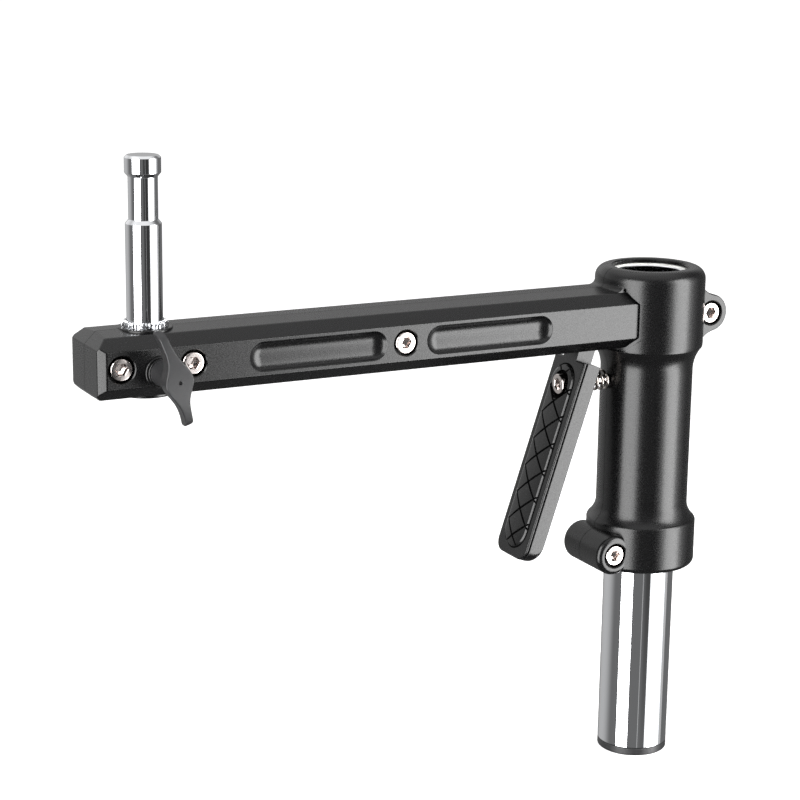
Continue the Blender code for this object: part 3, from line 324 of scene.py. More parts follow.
def grained_finish(name, colour, metallic, size, gloss, height, stretch=(1, 1, 1), detail=2.0):
    """A finish whose roughness, between two values, and whose bump follow one fine pattern."""
    material, shader = plain_finish(name, colour, metallic, gloss[0])
    grain = speckle(material, size, stretch, detail)
    vary(material, grain, shader.inputs["Roughness"], *gloss)
    raise_grain(material, shader, grain, height)
    return material


def chrome_plate():
    material, shader = plain_finish("chrome_plate", (0.88, 0.89, 0.91), 1.0, 0.05)
    wiped = speckle(material, 90, (1, 1, 0.12))
    vary(material, wiped, shader.inputs["Roughness"], 0.025, 0.075)
    return material


ROUGH_BORE = ((0.12, 0.35), 0.0011, (1, 1, 0.6), 4.0)  # scale and scratches of a bare bore

CHROME = chrome_plate()
TUBE_INSIDE = grained_finish("drawn_bore", (0.55, 0.55, 0.56), 1.0, 420, *ROUGH_BORE)
tube_low, tube_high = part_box("column_tube")
tube_radius = tube_high.x
tube_inner = tube_radius - 0.0015
tube_outline = [
    (tube_radius - TUBE_EDGE, tube_high.z),
    (tube_radius, tube_high.z - TUBE_EDGE),
    (tube_radius, tube_low.z),
    (tube_inner, tube_low.z),
    (tube_inner, tube_high.z - TUBE_EDGE),
    (tube_inner + TUBE_EDGE, tube_high.z),
]
tube = spun(tube_outline, steps=160)
for face in tube.faces:
    face.material_index = int(face.calc_center_median().xy.length < tube_inner + TUBE_EDGE)
fit_piece(tube, "column", "column", [CHROME, TUBE_INSIDE], "chrome", "column_tube")


# Column end plug
# A moulded nylon plug, pressed into the foot of the tube. Its flange is as wide as the tube and has soft
# edges, and a shallow dish in its foot keeps it from rocking.

PLUG_ROUND = 0.0008
DISH_RADIUS = 0.0110
DISH_DEPTH = 0.0008


NYLON = grained_finish("moulded_nylon", (0.018, 0.018, 0.019), 0.0, 1800, (0.38, 0.52), 0.00002)
plug_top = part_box("column_end_plug")[1].z
flange_top = tube_low.z - 0.0003
spigot = tube_inner - 0.0003
plug_outline = [
    (0, plug_top),
    (spigot - PLUG_ROUND, plug_top),
    (spigot, plug_top - PLUG_ROUND),
    (spigot, flange_top),
    *arc((tube_radius - PLUG_ROUND, flange_top - PLUG_ROUND), PLUG_ROUND, 90, 0),
    *arc((tube_radius - PLUG_ROUND, PLUG_ROUND), PLUG_ROUND, 0, -90),
    (DISH_RADIUS + DISH_DEPTH, 0),
    (DISH_RADIUS, DISH_DEPTH),
    (0, DISH_DEPTH),
]
fit_piece(spun(plug_outline), "column_plug", "column", NYLON, "black_plastic", "column_end_plug")


# Guide bushes
# Two turned rings of white acetal that sit in grooves of the sleeve and run on the column. Their plain
# shape is already right, so they only get their finish.


def finish_node(node, material):
    """Gives a plain model piece its finish."""
    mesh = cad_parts[node].data
    mesh.materials.clear()
    mesh.materials.append(material)


TOOL_MARKS = (0.2, 0.2, 6.0)
ACETAL = grained_finish("turned_acetal", (0.80, 0.80, 0.77), 0.0, 260, (0.32, 0.5), 0.00003, TOOL_MARKS)
for bush in ("upper_guide_bush", "lower_guide_bush"):
    finish_node(bush, ACETAL)


# Castings
# Two die-cast halves, front and back, that close round the column. Each carries half of the sleeve, the
# arm, the ear and the lug. They are powder coated in satin black, with a fine grain.

HEAD_RADIUS = 0.02705
WAIST_RADIUS = 0.02273
RING_RADIUS = 0.0272
BORE_RADIUS = 0.0185
HEAD_LOW = 0.2150
WAIST_TOP = 0.1990
WAIST_LOW = 0.1320
RING_TOP = 0.1235
RIM_ROUND = 0.0058
BORE_EDGE = 0.0006
MOUTH = 0.0035  # how deep the bore is left bare
FOOT_ROUND = 0.0030
CAST_EDGE = 0.0005  # the rounding of every cast edge
ARM_BEVEL = 0.0053
ARM_RIDGE = 0.0003  # the top rises this much at the joint of the halves
ARM_DRAFT = 0.0006  # and falls this much towards the sides
TIP_TOP_BEVEL = 0.0052
TIP_LOW_BEVEL = 0.0020
TIP_SIDE_BEVEL = 0.0024  # across the arm
TIP_SIDE_LENGTH = 0.0036  # and along it
MOAT_WIDTH = 0.0019
MOAT_DEPTH = 0.0016
COVE_RADIUS = 0.0032
LUG_ROUND = 0.0026
LUG_RADIUS = 0.0100
LUG_FRONT, LUG_BACK = 0.0180, 0.0160
ARM_HALF = 0.0185
ARM_HEIGHT = 0.02785
FLUTE_HALF = 0.0064
OUTER_FLUTE = (0.02674, 0.0100)  # from the inner screw, and short of the middle one
ROOT_FLUTE = (0.0111, -0.0666)  # past the middle screw, and where it ends
BOSS_RADIUS, BOSS_RISE, BOSS_ROUND = 0.01225, 0.0007, 0.0006
UNDER_RADIUS, UNDER_DROP, UNDER_ROUND = 0.0128, 0.0014, 0.0008
HEAD_ROOM = 0.0061  # radius of a clamp screw's counterbore
HEAD_TALL = 0.0060
EAR_FILLET = 0.0120
EAR_HALF = 0.0120  # half its thickness
EAR_LEAN = math.radians(78.5)  # where its round end runs into the fillets
FIT = 0.0003  # air round a piece that is let in


def lofted(loops, closed=False):
    """A skin through loops with the same number of points; the ends are filled unless it closes."""
    bm = bmesh.new()
    rings = [ring_of(bm, points) for points in loops]
    pairs = list(zip(rings, rings[1:]))
    if closed:
        pairs.append((rings[-1], rings[0]))
    for first, second in pairs:
        bmesh.ops.bridge_loops(bm, edges=first + second)
    if not closed:
        for end in (rings[0], rings[-1]):
            bmesh.ops.contextual_create(bm, geom=end)
    bmesh.ops.recalc_face_normals(bm, faces=bm.faces)
    return bm


def block(low, high):
    bm = bmesh.new()
    bmesh.ops.create_cube(bm, size=1)
    low, high = Vector(low), Vector(high)
    bmesh.ops.scale(bm, vec=high - low, verts=bm.verts)
    bmesh.ops.translate(bm, vec=(low + high) / 2, verts=bm.verts)
    return bm


def bar(start, end, radius, sides=48, end_radius=None):
    """A round or many-sided bar between two points."""
    start, end = Vector(start), Vector(end)
    bm = bmesh.new()
    bmesh.ops.create_cone(
        bm,
        cap_ends=True,
        segments=sides,
        radius1=radius,
        radius2=radius if end_radius is None else end_radius,
        depth=(end - start).length,
    )
    turn = Vector((0, 0, 1)).rotation_difference(end - start).to_matrix()
    bmesh.ops.rotate(bm, cent=(0, 0, 0), matrix=turn, verts=bm.verts)
    bmesh.ops.translate(bm, vec=(start + end) / 2, verts=bm.verts)
    return bm


def soften(bm, width, segments=3, steeper=30, choose=None):
    """Rounds the sharp edges of a solid."""
    edges = [e for e in bm.edges if e.calc_face_angle(0) > math.radians(steeper)]
    if choose:
        edges = [e for e in edges if choose(e)]
    bmesh.ops.bevel(
        bm, geom=edges, offset=width, segments=segments, profile=0.5, affect="EDGES", material=-1
    )
    return bm


def slice_off(bm, point, normal):
    """Cuts away what lies beyond a plane and closes the cut."""
    cut = bmesh.ops.bisect_plane(
        bm, geom=bm.verts[:] + bm.edges[:] + bm.faces[:], plane_co=point, plane_no=normal, clear_outer=True
    )
    edges = [e for e in cut["geom_cut"] if isinstance(e, bmesh.types.BMEdge)]
    bmesh.ops.edgeloop_fill(bm, edges=edges)
    return bm


def shaped(base, steps, crossing=False):
    """The base solid after each (operation, solid) in turn, as a mesh; a crossing tool cuts itself."""
    loose = []

    def stand(bm, name):
        mesh = bpy.data.meshes.new(name)
        bm.to_mesh(mesh)
        bm.free()
        thing = bpy.data.objects.new(name, mesh)
        bpy.context.scene.collection.objects.link(thing)
        loose.append(thing)
        return thing

    body = stand(base, "casting_blank")
    for operation, solid in steps:
        tool = stand(solid, "tool")
        step = body.modifiers.new("step", "BOOLEAN")
        step.operation = operation
        step.solver = "EXACT"
        step.use_self = crossing
        step.object = tool
    bpy.context.view_layer.update()
    made = bpy.data.meshes.new_from_object(body.evaluated_get(bpy.context.evaluated_depsgraph_get()))
    for thing in loose:
        mesh = thing.data
        bpy.data.objects.remove(thing)
        bpy.data.meshes.remove(mesh)
    return made


def solid_again(mesh):
    """The bmesh of a finished mesh, which is used up."""
    bm = bmesh.new()
    bm.from_mesh(mesh)
    bpy.data.meshes.remove(mesh)
    return bm


def shoulder(radius, crease, waist):
    """The hollow run of (radius, height) from a crease under a shoulder to the waist."""
    down = 1 if crease < waist else -1
    points = [(radius - 0.00012, crease - 0.0008 * down), (radius - 0.00045, crease - 0.0002 * down)]
    for i in range(13):
        share = i / 12
        swell = (radius - 0.0007 - WAIST_RADIUS) * (1 - share) ** 2.2
        points.append((WAIST_RADIUS + swell, crease + (waist - crease) * share))
    return points


COAT_BLACK = (0.0022, 0.0022, 0.0024)
COAT = grained_finish("powder_coat", COAT_BLACK, 0.0, 1800, (0.22, 0.32), 0.000018, detail=3.0)
MACHINED = grained_finish("machined_bore", (0.42, 0.42, 0.42), 1.0, 420, *ROUGH_BORE)
cast_low, cast_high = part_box("front_casting")
sleeve_low, sleeve_top = cast_low.z, cast_high.z
arm_tip = cast_low.x
ear_end = cast_high.x
arm_half = ARM_HALF
arm_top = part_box("stud_socket")[1].z - BOSS_RISE
arm_bottom = arm_top - ARM_HEIGHT
arm_middle = (arm_top + arm_bottom) / 2
stud_x = sum(p.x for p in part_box("lamp_stud")) / 2


def sleeve_blank():
    rim = arc((HEAD_RADIUS - RIM_ROUND, sleeve_top - RIM_ROUND), RIM_ROUND, 90, 0, 10)
    head = [(HEAD_RADIUS, HEAD_LOW - 0.0018), *shoulder(HEAD_RADIUS, HEAD_LOW - 0.0045, WAIST_TOP)]
    foot = [*shoulder(RING_RADIUS, RING_TOP - 0.0002, WAIST_LOW)[::-1], (RING_RADIUS, RING_TOP - 0.0016)]
    edge = arc((RING_RADIUS - FOOT_ROUND, sleeve_low + FOOT_ROUND), FOOT_ROUND, 0, -90, 8)
    outline = [(0, sleeve_top), *rim, *head, *foot, *edge, (0, sleeve_low)]
    return spun(outline, steps=144)


def arm_section(margin=0.0):
    """Half-drafted octagon of the arm, as (y, z), grown by a margin."""
    top, low, half = arm_top + margin, arm_bottom - margin, arm_half + margin
    bevel = ARM_BEVEL + margin * (math.sqrt(2) - 1)
    upper = [(half, top - ARM_DRAFT - bevel), (half - bevel, top - ARM_DRAFT), (0, top + ARM_RIDGE)]
    lower = [(-half, low + bevel), (-half + bevel, low), (0, low - ARM_RIDGE)]
    right = [(-y, z) for y, z in upper[:2]]
    return [*upper, right[1], right[0], *lower, (half - bevel, low), (half, low + bevel)]


def arm_bar(margin=0.0, tip=None):
    tip = arm_tip if tip is None else tip
    section = arm_section(margin)
    return lofted([[(x, y, z) for y, z in section] for x in (tip, 0.0)])


def arm_blank():
    bm = arm_bar()
    slice_off(bm, (arm_tip, 0, arm_top - TIP_TOP_BEVEL), (-1, 0, 1))
    slice_off(bm, (arm_tip, 0, arm_bottom + TIP_LOW_BEVEL), (-1, 0, -1))
    for side in (-1, 1):
        edge = (arm_tip, side * (arm_half - TIP_SIDE_BEVEL), 0)
        slice_off(bm, edge, (-TIP_SIDE_BEVEL, side * TIP_SIDE_LENGTH, 0))
    return soften(bm, CAST_EDGE, 3, 15, lambda e: min(v.co.x for v in e.verts) < -0.001)


def moat():
    """The groove in the head that the arm stands in."""
    core = bar((0, 0, sleeve_low), (0, 0, sleeve_top + 0.01), HEAD_RADIUS - MOAT_DEPTH, 144)
    return solid_again(shaped(arm_bar(MOAT_WIDTH, -HEAD_RADIUS - 0.01), [("DIFFERENCE", core)]))


def cove():
    """The concave fillet between the arm's top and the head."""
    foot = arm_top - ARM_DRAFT - 0.0006
    reach = HEAD_RADIUS + COVE_RADIUS
    curve = arc((reach, foot + 0.0006 + COVE_RADIUS), COVE_RADIUS, 180, 270, 8)
    root = HEAD_RADIUS - 0.002
    outline = [(root, foot + COVE_RADIUS + 0.0006), *curve, (reach, foot), (root, foot)]
    ring = spun(outline, steps=144)
    keep = block((-0.05, -0.0128, foot - 0.001), (-0.005, 0.0128, sleeve_top))
    return solid_again(shaped(ring, [("INTERSECT", keep)]))


def flute(start, end, side):
    """A long hollow with a round floor and a soft lip, in one side of the arm."""
    half = FLUTE_HALF
    loops = []
    for depth, margin in (
        (-0.0010, -0.0012),
        (0.0000, -0.0005),
        (0.0003, -0.0001),
        (0.0007, 0.0001),
        (0.0013, 0.0006),
        (0.0019, 0.0014),
        (0.0024, 0.0024),
        (0.0028, 0.0036),
        (0.0030, 0.0048),
        (0.0031, 0.0058),
    ):
        reach = half - margin
        ends = arc((end - half, arm_middle), reach, -90, 90, 16)
        ends += arc((start + half, arm_middle), reach, 90, 270, 16)
        loops.append([(x, side * (arm_half - depth), z) for x, z in ends])
    return lofted(loops)


def ear_plate():
    """The ear's web and round end, with a hollow above and below it."""
    low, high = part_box("clamp_screw_ear")
    level = (low.z + high.z) / 2
    x = (low.x + high.x) / 2
    radius = ear_end - x
    away = x + (radius + EAR_FILLET) * math.cos(EAR_LEAN)
    rise = (radius + EAR_FILLET) * math.sin(EAR_LEAN)
    root = math.degrees(math.acos((HEAD_RADIUS - 0.0045 - away) / EAR_FILLET))
    lean = math.degrees(EAR_LEAN)
    outline = [
        (HEAD_RADIUS - 0.0080, level + rise - EAR_FILLET * math.sin(math.radians(root))),
        *arc((away, level + rise), EAR_FILLET, -root, lean - 180, 10),
        *arc((x, level), radius, lean, -lean, 28)[1:-1],
        *arc((away, level - rise), EAR_FILLET, 180 - lean, root, 10),
        (HEAD_RADIUS - 0.0080, level - rise + EAR_FILLET * math.sin(math.radians(root))),
    ]
    bm = lofted([[(px, y, pz) for px, pz in outline] for y in (-EAR_HALF, EAR_HALF)])
    return soften(bm, 0.0009, 3, 60, lambda e: all(v.co.x > HEAD_RADIUS - 0.004 for v in e.verts))


def lug_barrel():
    low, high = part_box("clamp_screw_lug")
    x, z = (low.x + high.x) / 2, (low.z + high.z) / 2
    return soften(bar((x, -LUG_FRONT, z), (x, LUG_BACK, z), LUG_RADIUS, 64), LUG_ROUND, 6, 60)


def round_room(node, along, radius, low_extra, high_extra, sides=48):
    """A round hole on the axis of a model piece, past its ends by the extras."""
    low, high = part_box(node)
    start, end = (low + high) / 2, (low + high) / 2
    start[along] = low[along] - low_extra
    end[along] = high[along] + high_extra
    return bar(start, end, radius, sides)


def counterbore(node, mouth, floor):
    """Room for a screw head, with a broken edge at its mouth."""
    low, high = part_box(node)
    x, z = (low.x + high.x) / 2, (low.z + high.z) / 2
    radius = HEAD_ROOM
    outline = [
        (0, 0.0003),
        (radius + 0.0006, 0.0003),
        (radius + 0.0003, -0.0001),
        (radius, -0.0005),
        (radius, mouth - floor),
        (0, mouth - floor),
    ]
    bm = spun(outline, steps=48)
    turn = Matrix.Translation((x, mouth, z)) @ Matrix.Rotation(math.pi / 2, 4, "X")
    bmesh.ops.transform(bm, matrix=turn, verts=bm.verts)
    return bm


def casting_steps():
    steps = [("DIFFERENCE", moat()), ("UNION", arm_blank()), ("UNION", cove())]
    steps.append(("UNION", lug_barrel()))
    steps.append(("UNION", ear_plate()))
    boss = [
        (0, arm_top - 0.004),
        (BOSS_RADIUS, arm_top - 0.004),
        *arc((BOSS_RADIUS - BOSS_ROUND, arm_top + BOSS_RISE - BOSS_ROUND), BOSS_ROUND, 0, 90, 4),
        (0, arm_top + BOSS_RISE),
    ]
    steps.append(("UNION", spun(boss[::-1], (stud_x, 0, 0))))
    under = [
        (0, arm_bottom + 0.003),
        (UNDER_RADIUS, arm_bottom + 0.003),
        *arc((UNDER_RADIUS - UNDER_ROUND, arm_bottom - UNDER_DROP + UNDER_ROUND), UNDER_ROUND, 0, -90, 5),
        (0, arm_bottom - UNDER_DROP),
    ]
    steps.append(("UNION", spun(under, (stud_x, 0, 0))))
    insert_low, insert_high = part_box("lock_insert")
    lock = (insert_low.z + insert_high.z) / 2
    collar = [
        (0, 0.0023),
        *arc((0.0058, 0.0018), 0.0005, 90, 0, 4),
        (0.0063, 0.0012),
        (0.0061, 0.0009),
        *arc((0.0066, 0.0005), 0.0006, 110, 0, 4),
        (0.0072, -0.002),
        (0, -0.002),
    ]
    ring = spun(collar, steps=72)
    face = Matrix.Translation((stud_x, -arm_half, lock)) @ Matrix.Rotation(math.pi / 2, 4, "X")
    bmesh.ops.transform(ring, matrix=face, verts=ring.verts)
    steps.append(("UNION", ring))
    bore = [
        (0, sleeve_top + 0.005),
        (BORE_RADIUS + 0.005 + BORE_EDGE, sleeve_top + 0.005),
        (BORE_RADIUS + BORE_EDGE, sleeve_top),
        (BORE_RADIUS, sleeve_top - BORE_EDGE),
        (BORE_RADIUS, sleeve_low + BORE_EDGE),
        (BORE_RADIUS + BORE_EDGE, sleeve_low),
        (BORE_RADIUS + 0.005 + BORE_EDGE, sleeve_low - 0.005),
        (0, sleeve_low - 0.005),
    ]
    cuts = [spun(bore, steps=144)]
    for bush in ("upper_guide_bush", "lower_guide_bush"):
        cuts.append(round_room(bush, 2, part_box(bush)[1].x + FIT, FIT, FIT, 96))
    middle = sum(p.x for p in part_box("clamp_screw_middle")) / 2
    inner = sum(p.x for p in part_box("clamp_screw_inner")) / 2
    for side in (-1, 1):
        cuts.append(flute(inner + OUTER_FLUTE[0], middle - OUTER_FLUTE[1], side))
        cuts.append(flute(middle + ROOT_FLUTE[0], ROOT_FLUTE[1], side))
    cuts.append(round_room("stud_socket", 2, 0.0100 + FIT, FIT, 0.01, 72))
    cuts.append(round_room("stud_washer", 2, 0.0095 + FIT, 0.01, 0.001, 72))
    cuts.append(round_room("lock_insert", 1, 0.0060 + FIT, 0.0003, FIT))
    cuts.append(round_room("wing_screw", 1, 0.0040 + FIT, 0.0, 0.0))
    brake_low, brake_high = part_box("brake_block")
    cuts.append(
        block(
            (brake_low.x - 0.0022, brake_low.y - FIT, brake_low.z - FIT),
            (-BORE_RADIUS / 2, brake_high.y + FIT, brake_high.z + FIT),
        )
    )
    pin_low, pin_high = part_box("lever_pivot_pin")
    pivot = (pin_low + pin_high) / 2
    slot_half = Vector((0.0077, 0.0063))  # room for the lever's hub and nose
    slot_low = (pivot.x - slot_half.x, -slot_half.y, arm_bottom - 0.004)
    cuts.append(block(slot_low, (pivot.x + slot_half.x, slot_half.y, brake_low.z)))
    cuts.append(round_room("lever_pivot_pin", 1, 0.0025 + FIT, FIT, FIT, 32))
    bolt_low, bolt_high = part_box("stop_bolt_nut")
    level = (bolt_low.z + bolt_high.z) / 2
    cuts.append(bar((bolt_low.x - FIT, 0, level), (-BORE_RADIUS / 2, 0, level), 0.0049, 6))
    cuts.append(bar((-0.040, 0, level), (-BORE_RADIUS / 2, 0, level), 0.0028, 32))
    fronts = {"tip": arm_half, "inner": arm_half, "middle": arm_half, "ear": EAR_HALF, "lug": LUG_FRONT}
    for place, front in fronts.items():
        head = -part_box(f"clamp_screw_{place}")[0].y
        nut_low, nut_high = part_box(f"clamp_nut_{place}")
        cuts.append(counterbore(f"clamp_screw_{place}", -front, -head + HEAD_TALL))
        cuts.append(round_room(f"clamp_screw_{place}", 1, 0.0033, 0.0, 0.01, 32))
        centre = (nut_low + nut_high) / 2
        corner = (nut_high.x - nut_low.x) / 2 + FIT
        start, end = (centre.x, nut_low.y - FIT, centre.z), (centre.x, nut_high.y + 0.01, centre.z)
        cuts.append(bar(start, end, corner, 6))
    return steps + [("DIFFERENCE", cut) for cut in cuts]


for half, side in (("front", -1), ("back", 1)):
    other = sorted((side * FIT / 2, -side * 0.1))
    away = block((-0.5, other[0], 0), (0.5, other[1], 0.5))
    cast = shaped(sleeve_blank(), casting_steps() + [("DIFFERENCE", away)])
    for face in cast.polygons:
        bored = face.center.xy.length < BORE_RADIUS + BORE_EDGE / 2
        face.material_index = int(bored and face.center.z > sleeve_top - MOUTH)
    fit_piece(cast, f"{half}_half", "arm", [COAT, MACHINED], "black_paint", f"{half}_casting")


# Clamp screws
# Five M6 cap screws of bright nickel-plated steel, sunk in the front casting. Each has a hexagon socket
# whose walls and floor carry a dark finish as painted shade, and its head has a rounded edge.

HEAD_RADIUS_M6 = 0.0050
HEAD_HEIGHT_M6 = 0.0057
SHANK_M6 = 0.0029
HEAD_ROUND = 0.0006
SOCKET_CORNER = 0.0050 / 2 / math.cos(math.pi / 6)
SOCKET_DEPTH = 0.0032
LOOP_POINTS = 36


def round_loop(radius, height):
    turn = 2 * math.pi / LOOP_POINTS
    return [(radius * math.cos(turn * i), radius * math.sin(turn * i), height) for i in range(LOOP_POINTS)]


def hexagon_loop(corner, height):
    """A hexagon with as many points as a round loop, six to a side."""
    points = []
    for i in range(LOOP_POINTS):
        angle = 2 * math.pi * i / LOOP_POINTS
        off = (angle % (math.pi / 3)) - math.pi / 6
        reach = corner * math.cos(math.pi / 6) / math.cos(off)
        points.append((reach * math.cos(angle), reach * math.sin(angle), height))
    return points


def cap_screw(head, face, tall, shank, length, corner=SOCKET_CORNER, deep=SOCKET_DEPTH):
    """A cap screw; its head's face is at the height given and it points down."""
    rounding = [
        round_loop(head - HEAD_ROUND + HEAD_ROUND * math.sin(a), face - HEAD_ROUND + HEAD_ROUND * math.cos(a))
        for a in (math.radians(d) for d in (0, 30, 60, 90))
    ]
    bm = lofted(
        [
            hexagon_loop(corner * 0.55, face - deep - 0.0008),
            hexagon_loop(corner, face - deep),
            hexagon_loop(corner, face - 0.00025),
            hexagon_loop(corner + 0.00025, face),
            *rounding,
            round_loop(head, face - tall),
            round_loop(shank, face - tall - 0.0001),
            round_loop(shank, face - length),
        ]
    )
    # Painted shade: the socket's sunk walls and floor get the dark recess finish.
    for part in bm.faces:
        middle = part.calc_center_median()
        sunk = face - deep - tall / 4 < middle.z < face - 0.0002
        part.material_index = int(sunk and middle.xy.length < corner)
    return bm


NICKEL = grained_finish("nickel_plate", (0.62, 0.57, 0.55), 1.0, 700, (0.08, 0.18), 0.000006)
# Painted shade: a dark steel finish for screw sockets and the crown's tooth gaps, standing in for the shade
# in these recesses.
RECESS_SHADE = grained_finish("painted_recess_shade", (0.16, 0.15, 0.15), 1.0, 900, (0.28, 0.42), 0.00001)
FACE_FRONT = Matrix.Rotation(math.pi / 2, 4, "X")
for place in ("tip", "inner", "middle", "ear", "lug"):
    low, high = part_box(f"clamp_screw_{place}")
    screw = cap_screw(HEAD_RADIUS_M6, 0.0, HEAD_HEIGHT_M6, SHANK_M6, high.y - low.y)
    spot = Matrix.Translation(((low.x + high.x) / 2, low.y, (low.z + high.z) / 2))
    bmesh.ops.transform(screw, matrix=spot @ FACE_FRONT, verts=screw.verts)
    fit_piece(screw, f"screw_{place}", "arm", [NICKEL, RECESS_SHADE], "nickel", f"clamp_screw_{place}")


# Nuts
# Captive nuts of zinc-plated steel in the back casting, one for each clamp screw, and a thin one in the
# sleeve's wall for the stop bolt. Their corners are chamfered. The other zinc-plated pieces are plain.


def nut(corner, thread, height):
    flat = corner * math.cos(math.pi / 6)
    edge = 0.0005
    return lofted(
        [
            round_loop(thread + edge, 0.0),
            round_loop(flat, 0.0),
            hexagon_loop(corner, -edge),
            hexagon_loop(corner, -height + edge),
            round_loop(flat, -height),
            round_loop(thread + edge, -height),
            round_loop(thread, -height + edge),
            round_loop(thread, -edge),
        ],
        closed=True,
    )


ZINC = grained_finish("zinc_steel", (0.50, 0.50, 0.51), 1.0, 500, (0.25, 0.45), 0.00003, detail=3.0)
FACE_BACK = Matrix.Rotation(-math.pi / 2, 4, "X")
for place in ("tip", "inner", "middle", "ear", "lug"):
    low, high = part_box(f"clamp_nut_{place}")
    made = nut((high.x - low.x) / 2, 0.0032, high.y - low.y)
    spot = Matrix.Translation(((low.x + high.x) / 2, high.y, (low.z + high.z) / 2))
    bmesh.ops.transform(made, matrix=spot @ FACE_BACK, verts=made.verts)
    fit_piece(made, f"nut_{place}", "arm", ZINC, "steel", f"clamp_nut_{place}")
for node in ("stop_bolt_nut", "stud_socket", "stud_washer", "lever_pivot_pin", "wing_screw", "brake_block"):
    finish_node(node, ZINC)


# Lamp stud
# A 16 mm spigot, turned from bar and chromed. Its neck takes the lamp head's safety screw, and its cap
# has a chamfered top. It turns in the socket bush on a serrated crown.

STUD_ROUND = 0.0004
NECK_RADIUS = 0.0065
CROWN_TEETH = 40

stud_low, stud_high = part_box("lamp_stud")
stud_radius = (stud_high.x - stud_low.x) / 2
cap_low = stud_high.z - 0.0077
neck_low = stud_high.z - 0.0294
stud_outline = [
    (0, stud_high.z),
    *arc((stud_radius - 0.0012, stud_high.z - 0.0003), 0.0003, 90, 45, 3),
    *arc((stud_radius - STUD_ROUND, stud_high.z - 0.0012), STUD_ROUND, 45, 0, 3),
    *arc((stud_radius - STUD_ROUND, cap_low + 0.0003), STUD_ROUND, 0, -45, 3),
    *arc((NECK_RADIUS + 0.0005, cap_low - 0.0018), 0.0005, 135, 180, 3),
    *arc((NECK_RADIUS + 0.0005, neck_low + 0.0018), 0.0005, 180, 225, 3),
    *arc((stud_radius - STUD_ROUND, neck_low - 0.0003), STUD_ROUND, 45, 0, 3),
    (stud_radius, stud_low.z + 0.0006),
    (stud_radius - 0.0006, stud_low.z),
    (0.0028, stud_low.z),
    (0.0028, stud_low.z + 0.0120),
    (0, stud_low.z + 0.0120),
]
fit_piece(spun(stud_outline, (stud_x, 0, 0)), "stud", "stud", CHROME, "chrome", "lamp_stud", sharp=40)


def crown_loop(radius, tooth, height, phase=0.0):
    """A loop with teeth; the tooth is its depth."""
    points = []
    for i in range(CROWN_TEETH * 4):
        angle = 2 * math.pi * (i + phase) / (CROWN_TEETH * 4)
        reach = radius - tooth * (i % 4 in (2, 3))
        points.append((stud_x + reach * math.cos(angle), reach * math.sin(angle), height))
    return points


crown_low, crown_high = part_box("crown_ring")
crown_outer = (crown_high.x - crown_low.x) / 2
crown_inner = stud_radius + 0.0003
crown = lofted(
    [
        crown_loop(crown_inner, 0, crown_low.z),
        crown_loop(crown_outer, 0.0012, crown_low.z),
        crown_loop(crown_outer, 0.0012, crown_low.z + 0.0012),
        crown_loop(crown_outer - 0.0006, 0.0008, crown_high.z - 0.0005),
        crown_loop(crown_outer - 0.0013, 0, crown_high.z),
        crown_loop(crown_inner, 0, crown_high.z),
    ],
    closed=True,
)
# Painted shade: the faces down in the gaps between the crown's teeth get the dark recess finish.
for face in crown.faces:
    middle = face.calc_center_median()
    away = (middle.xy - Vector((stud_x, 0))).length
    gap = middle.z < crown_high.z - 0.0005 and crown_inner + 0.0001 < away < crown_outer - 0.0009
    face.material_index = int(gap)
fit_piece(crown, "crown", "stud", [CHROME, RECESS_SHADE], "chrome", "crown_ring", sharp=20)

screw_low, screw_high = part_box("stud_screw")
stud_screw = cap_screw(0.0045, 0.0, 0.0027, 0.0024, screw_high.z - screw_low.z, 0.0018, 0.0014)
upside_down = Matrix.Translation((stud_x, 0, screw_low.z)) @ Matrix.Rotation(math.pi, 4, "X")
bmesh.ops.transform(stud_screw, matrix=upside_down, verts=stud_screw.verts)
fit_piece(stud_screw, "stud_cap_screw", "stud", [NICKEL, RECESS_SHADE], "nickel", "stud_screw")


# Stud lock
# A brass insert in the front casting holds the wing screw, and a brass pad between its tip and the stud
# keeps it from scoring the chrome. Both are plain turned pieces.


BRASS = grained_finish("turned_brass", (0.70, 0.50, 0.22), 1.0, 400, (0.2, 0.42), 0.00003, (1, 5, 1))
for node in ("lock_insert", "pressure_pad"):
    finish_node(node, BRASS)


# Wing knob
# A moulded nylon wing on the lock screw. Its two wings fall back and narrow from a broad hub, their edges
# are rounded, and the mould left a small dimple in the middle.

KNOB_TILT = math.radians(-18)
KNOB_SPAN = 0.0222
KNOB_SWEEP = 0.0052  # the wings' tips fall back this far
KNOB_THICK = 0.0072
KNOB_ROUND = 0.0007

knob_low, knob_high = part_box("wing_knob")
lock_level = sum(p.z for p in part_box("lock_insert")) / 2


def wing_half(along, hollow):
    """Half width at a place along the wings, on their hollow or their full edge."""
    if hollow:
        return 0.0015 + 0.0050 * math.exp(-((along / 0.0066) ** 2))
    return 0.0022 + 0.0043 * math.exp(-((along / 0.0090) ** 2))


def wing_section(along):
    """A rounded section across the wings, as (x, y), at a place along them."""
    share = abs(along) / KNOB_SPAN
    past = max(0.0, abs(along) - 0.0190) / (KNOB_SPAN - 0.0190)
    narrow = math.sqrt(max(0.02, 1 - past**6))
    left = -wing_half(along, along > 0) * narrow
    right = wing_half(along, along <= 0) * narrow
    front = KNOB_SWEEP * share**2 + 0.0042 * past**2
    back = KNOB_SWEEP * share**2 + KNOB_THICK - 0.0010 * share
    points = []
    for (x, y), start in (
        ((right, front), 0),
        ((left, front), 90),
        ((left, back), 180),
        ((right, back), 270),
    ):
        turn = KNOB_ROUND * narrow
        corner = (x - math.copysign(turn, x), y + (turn if y == front else -turn))
        points += [(px, 2 * corner[1] - py) for px, py in arc(corner, turn, start, start + 90, 4)]
    return points


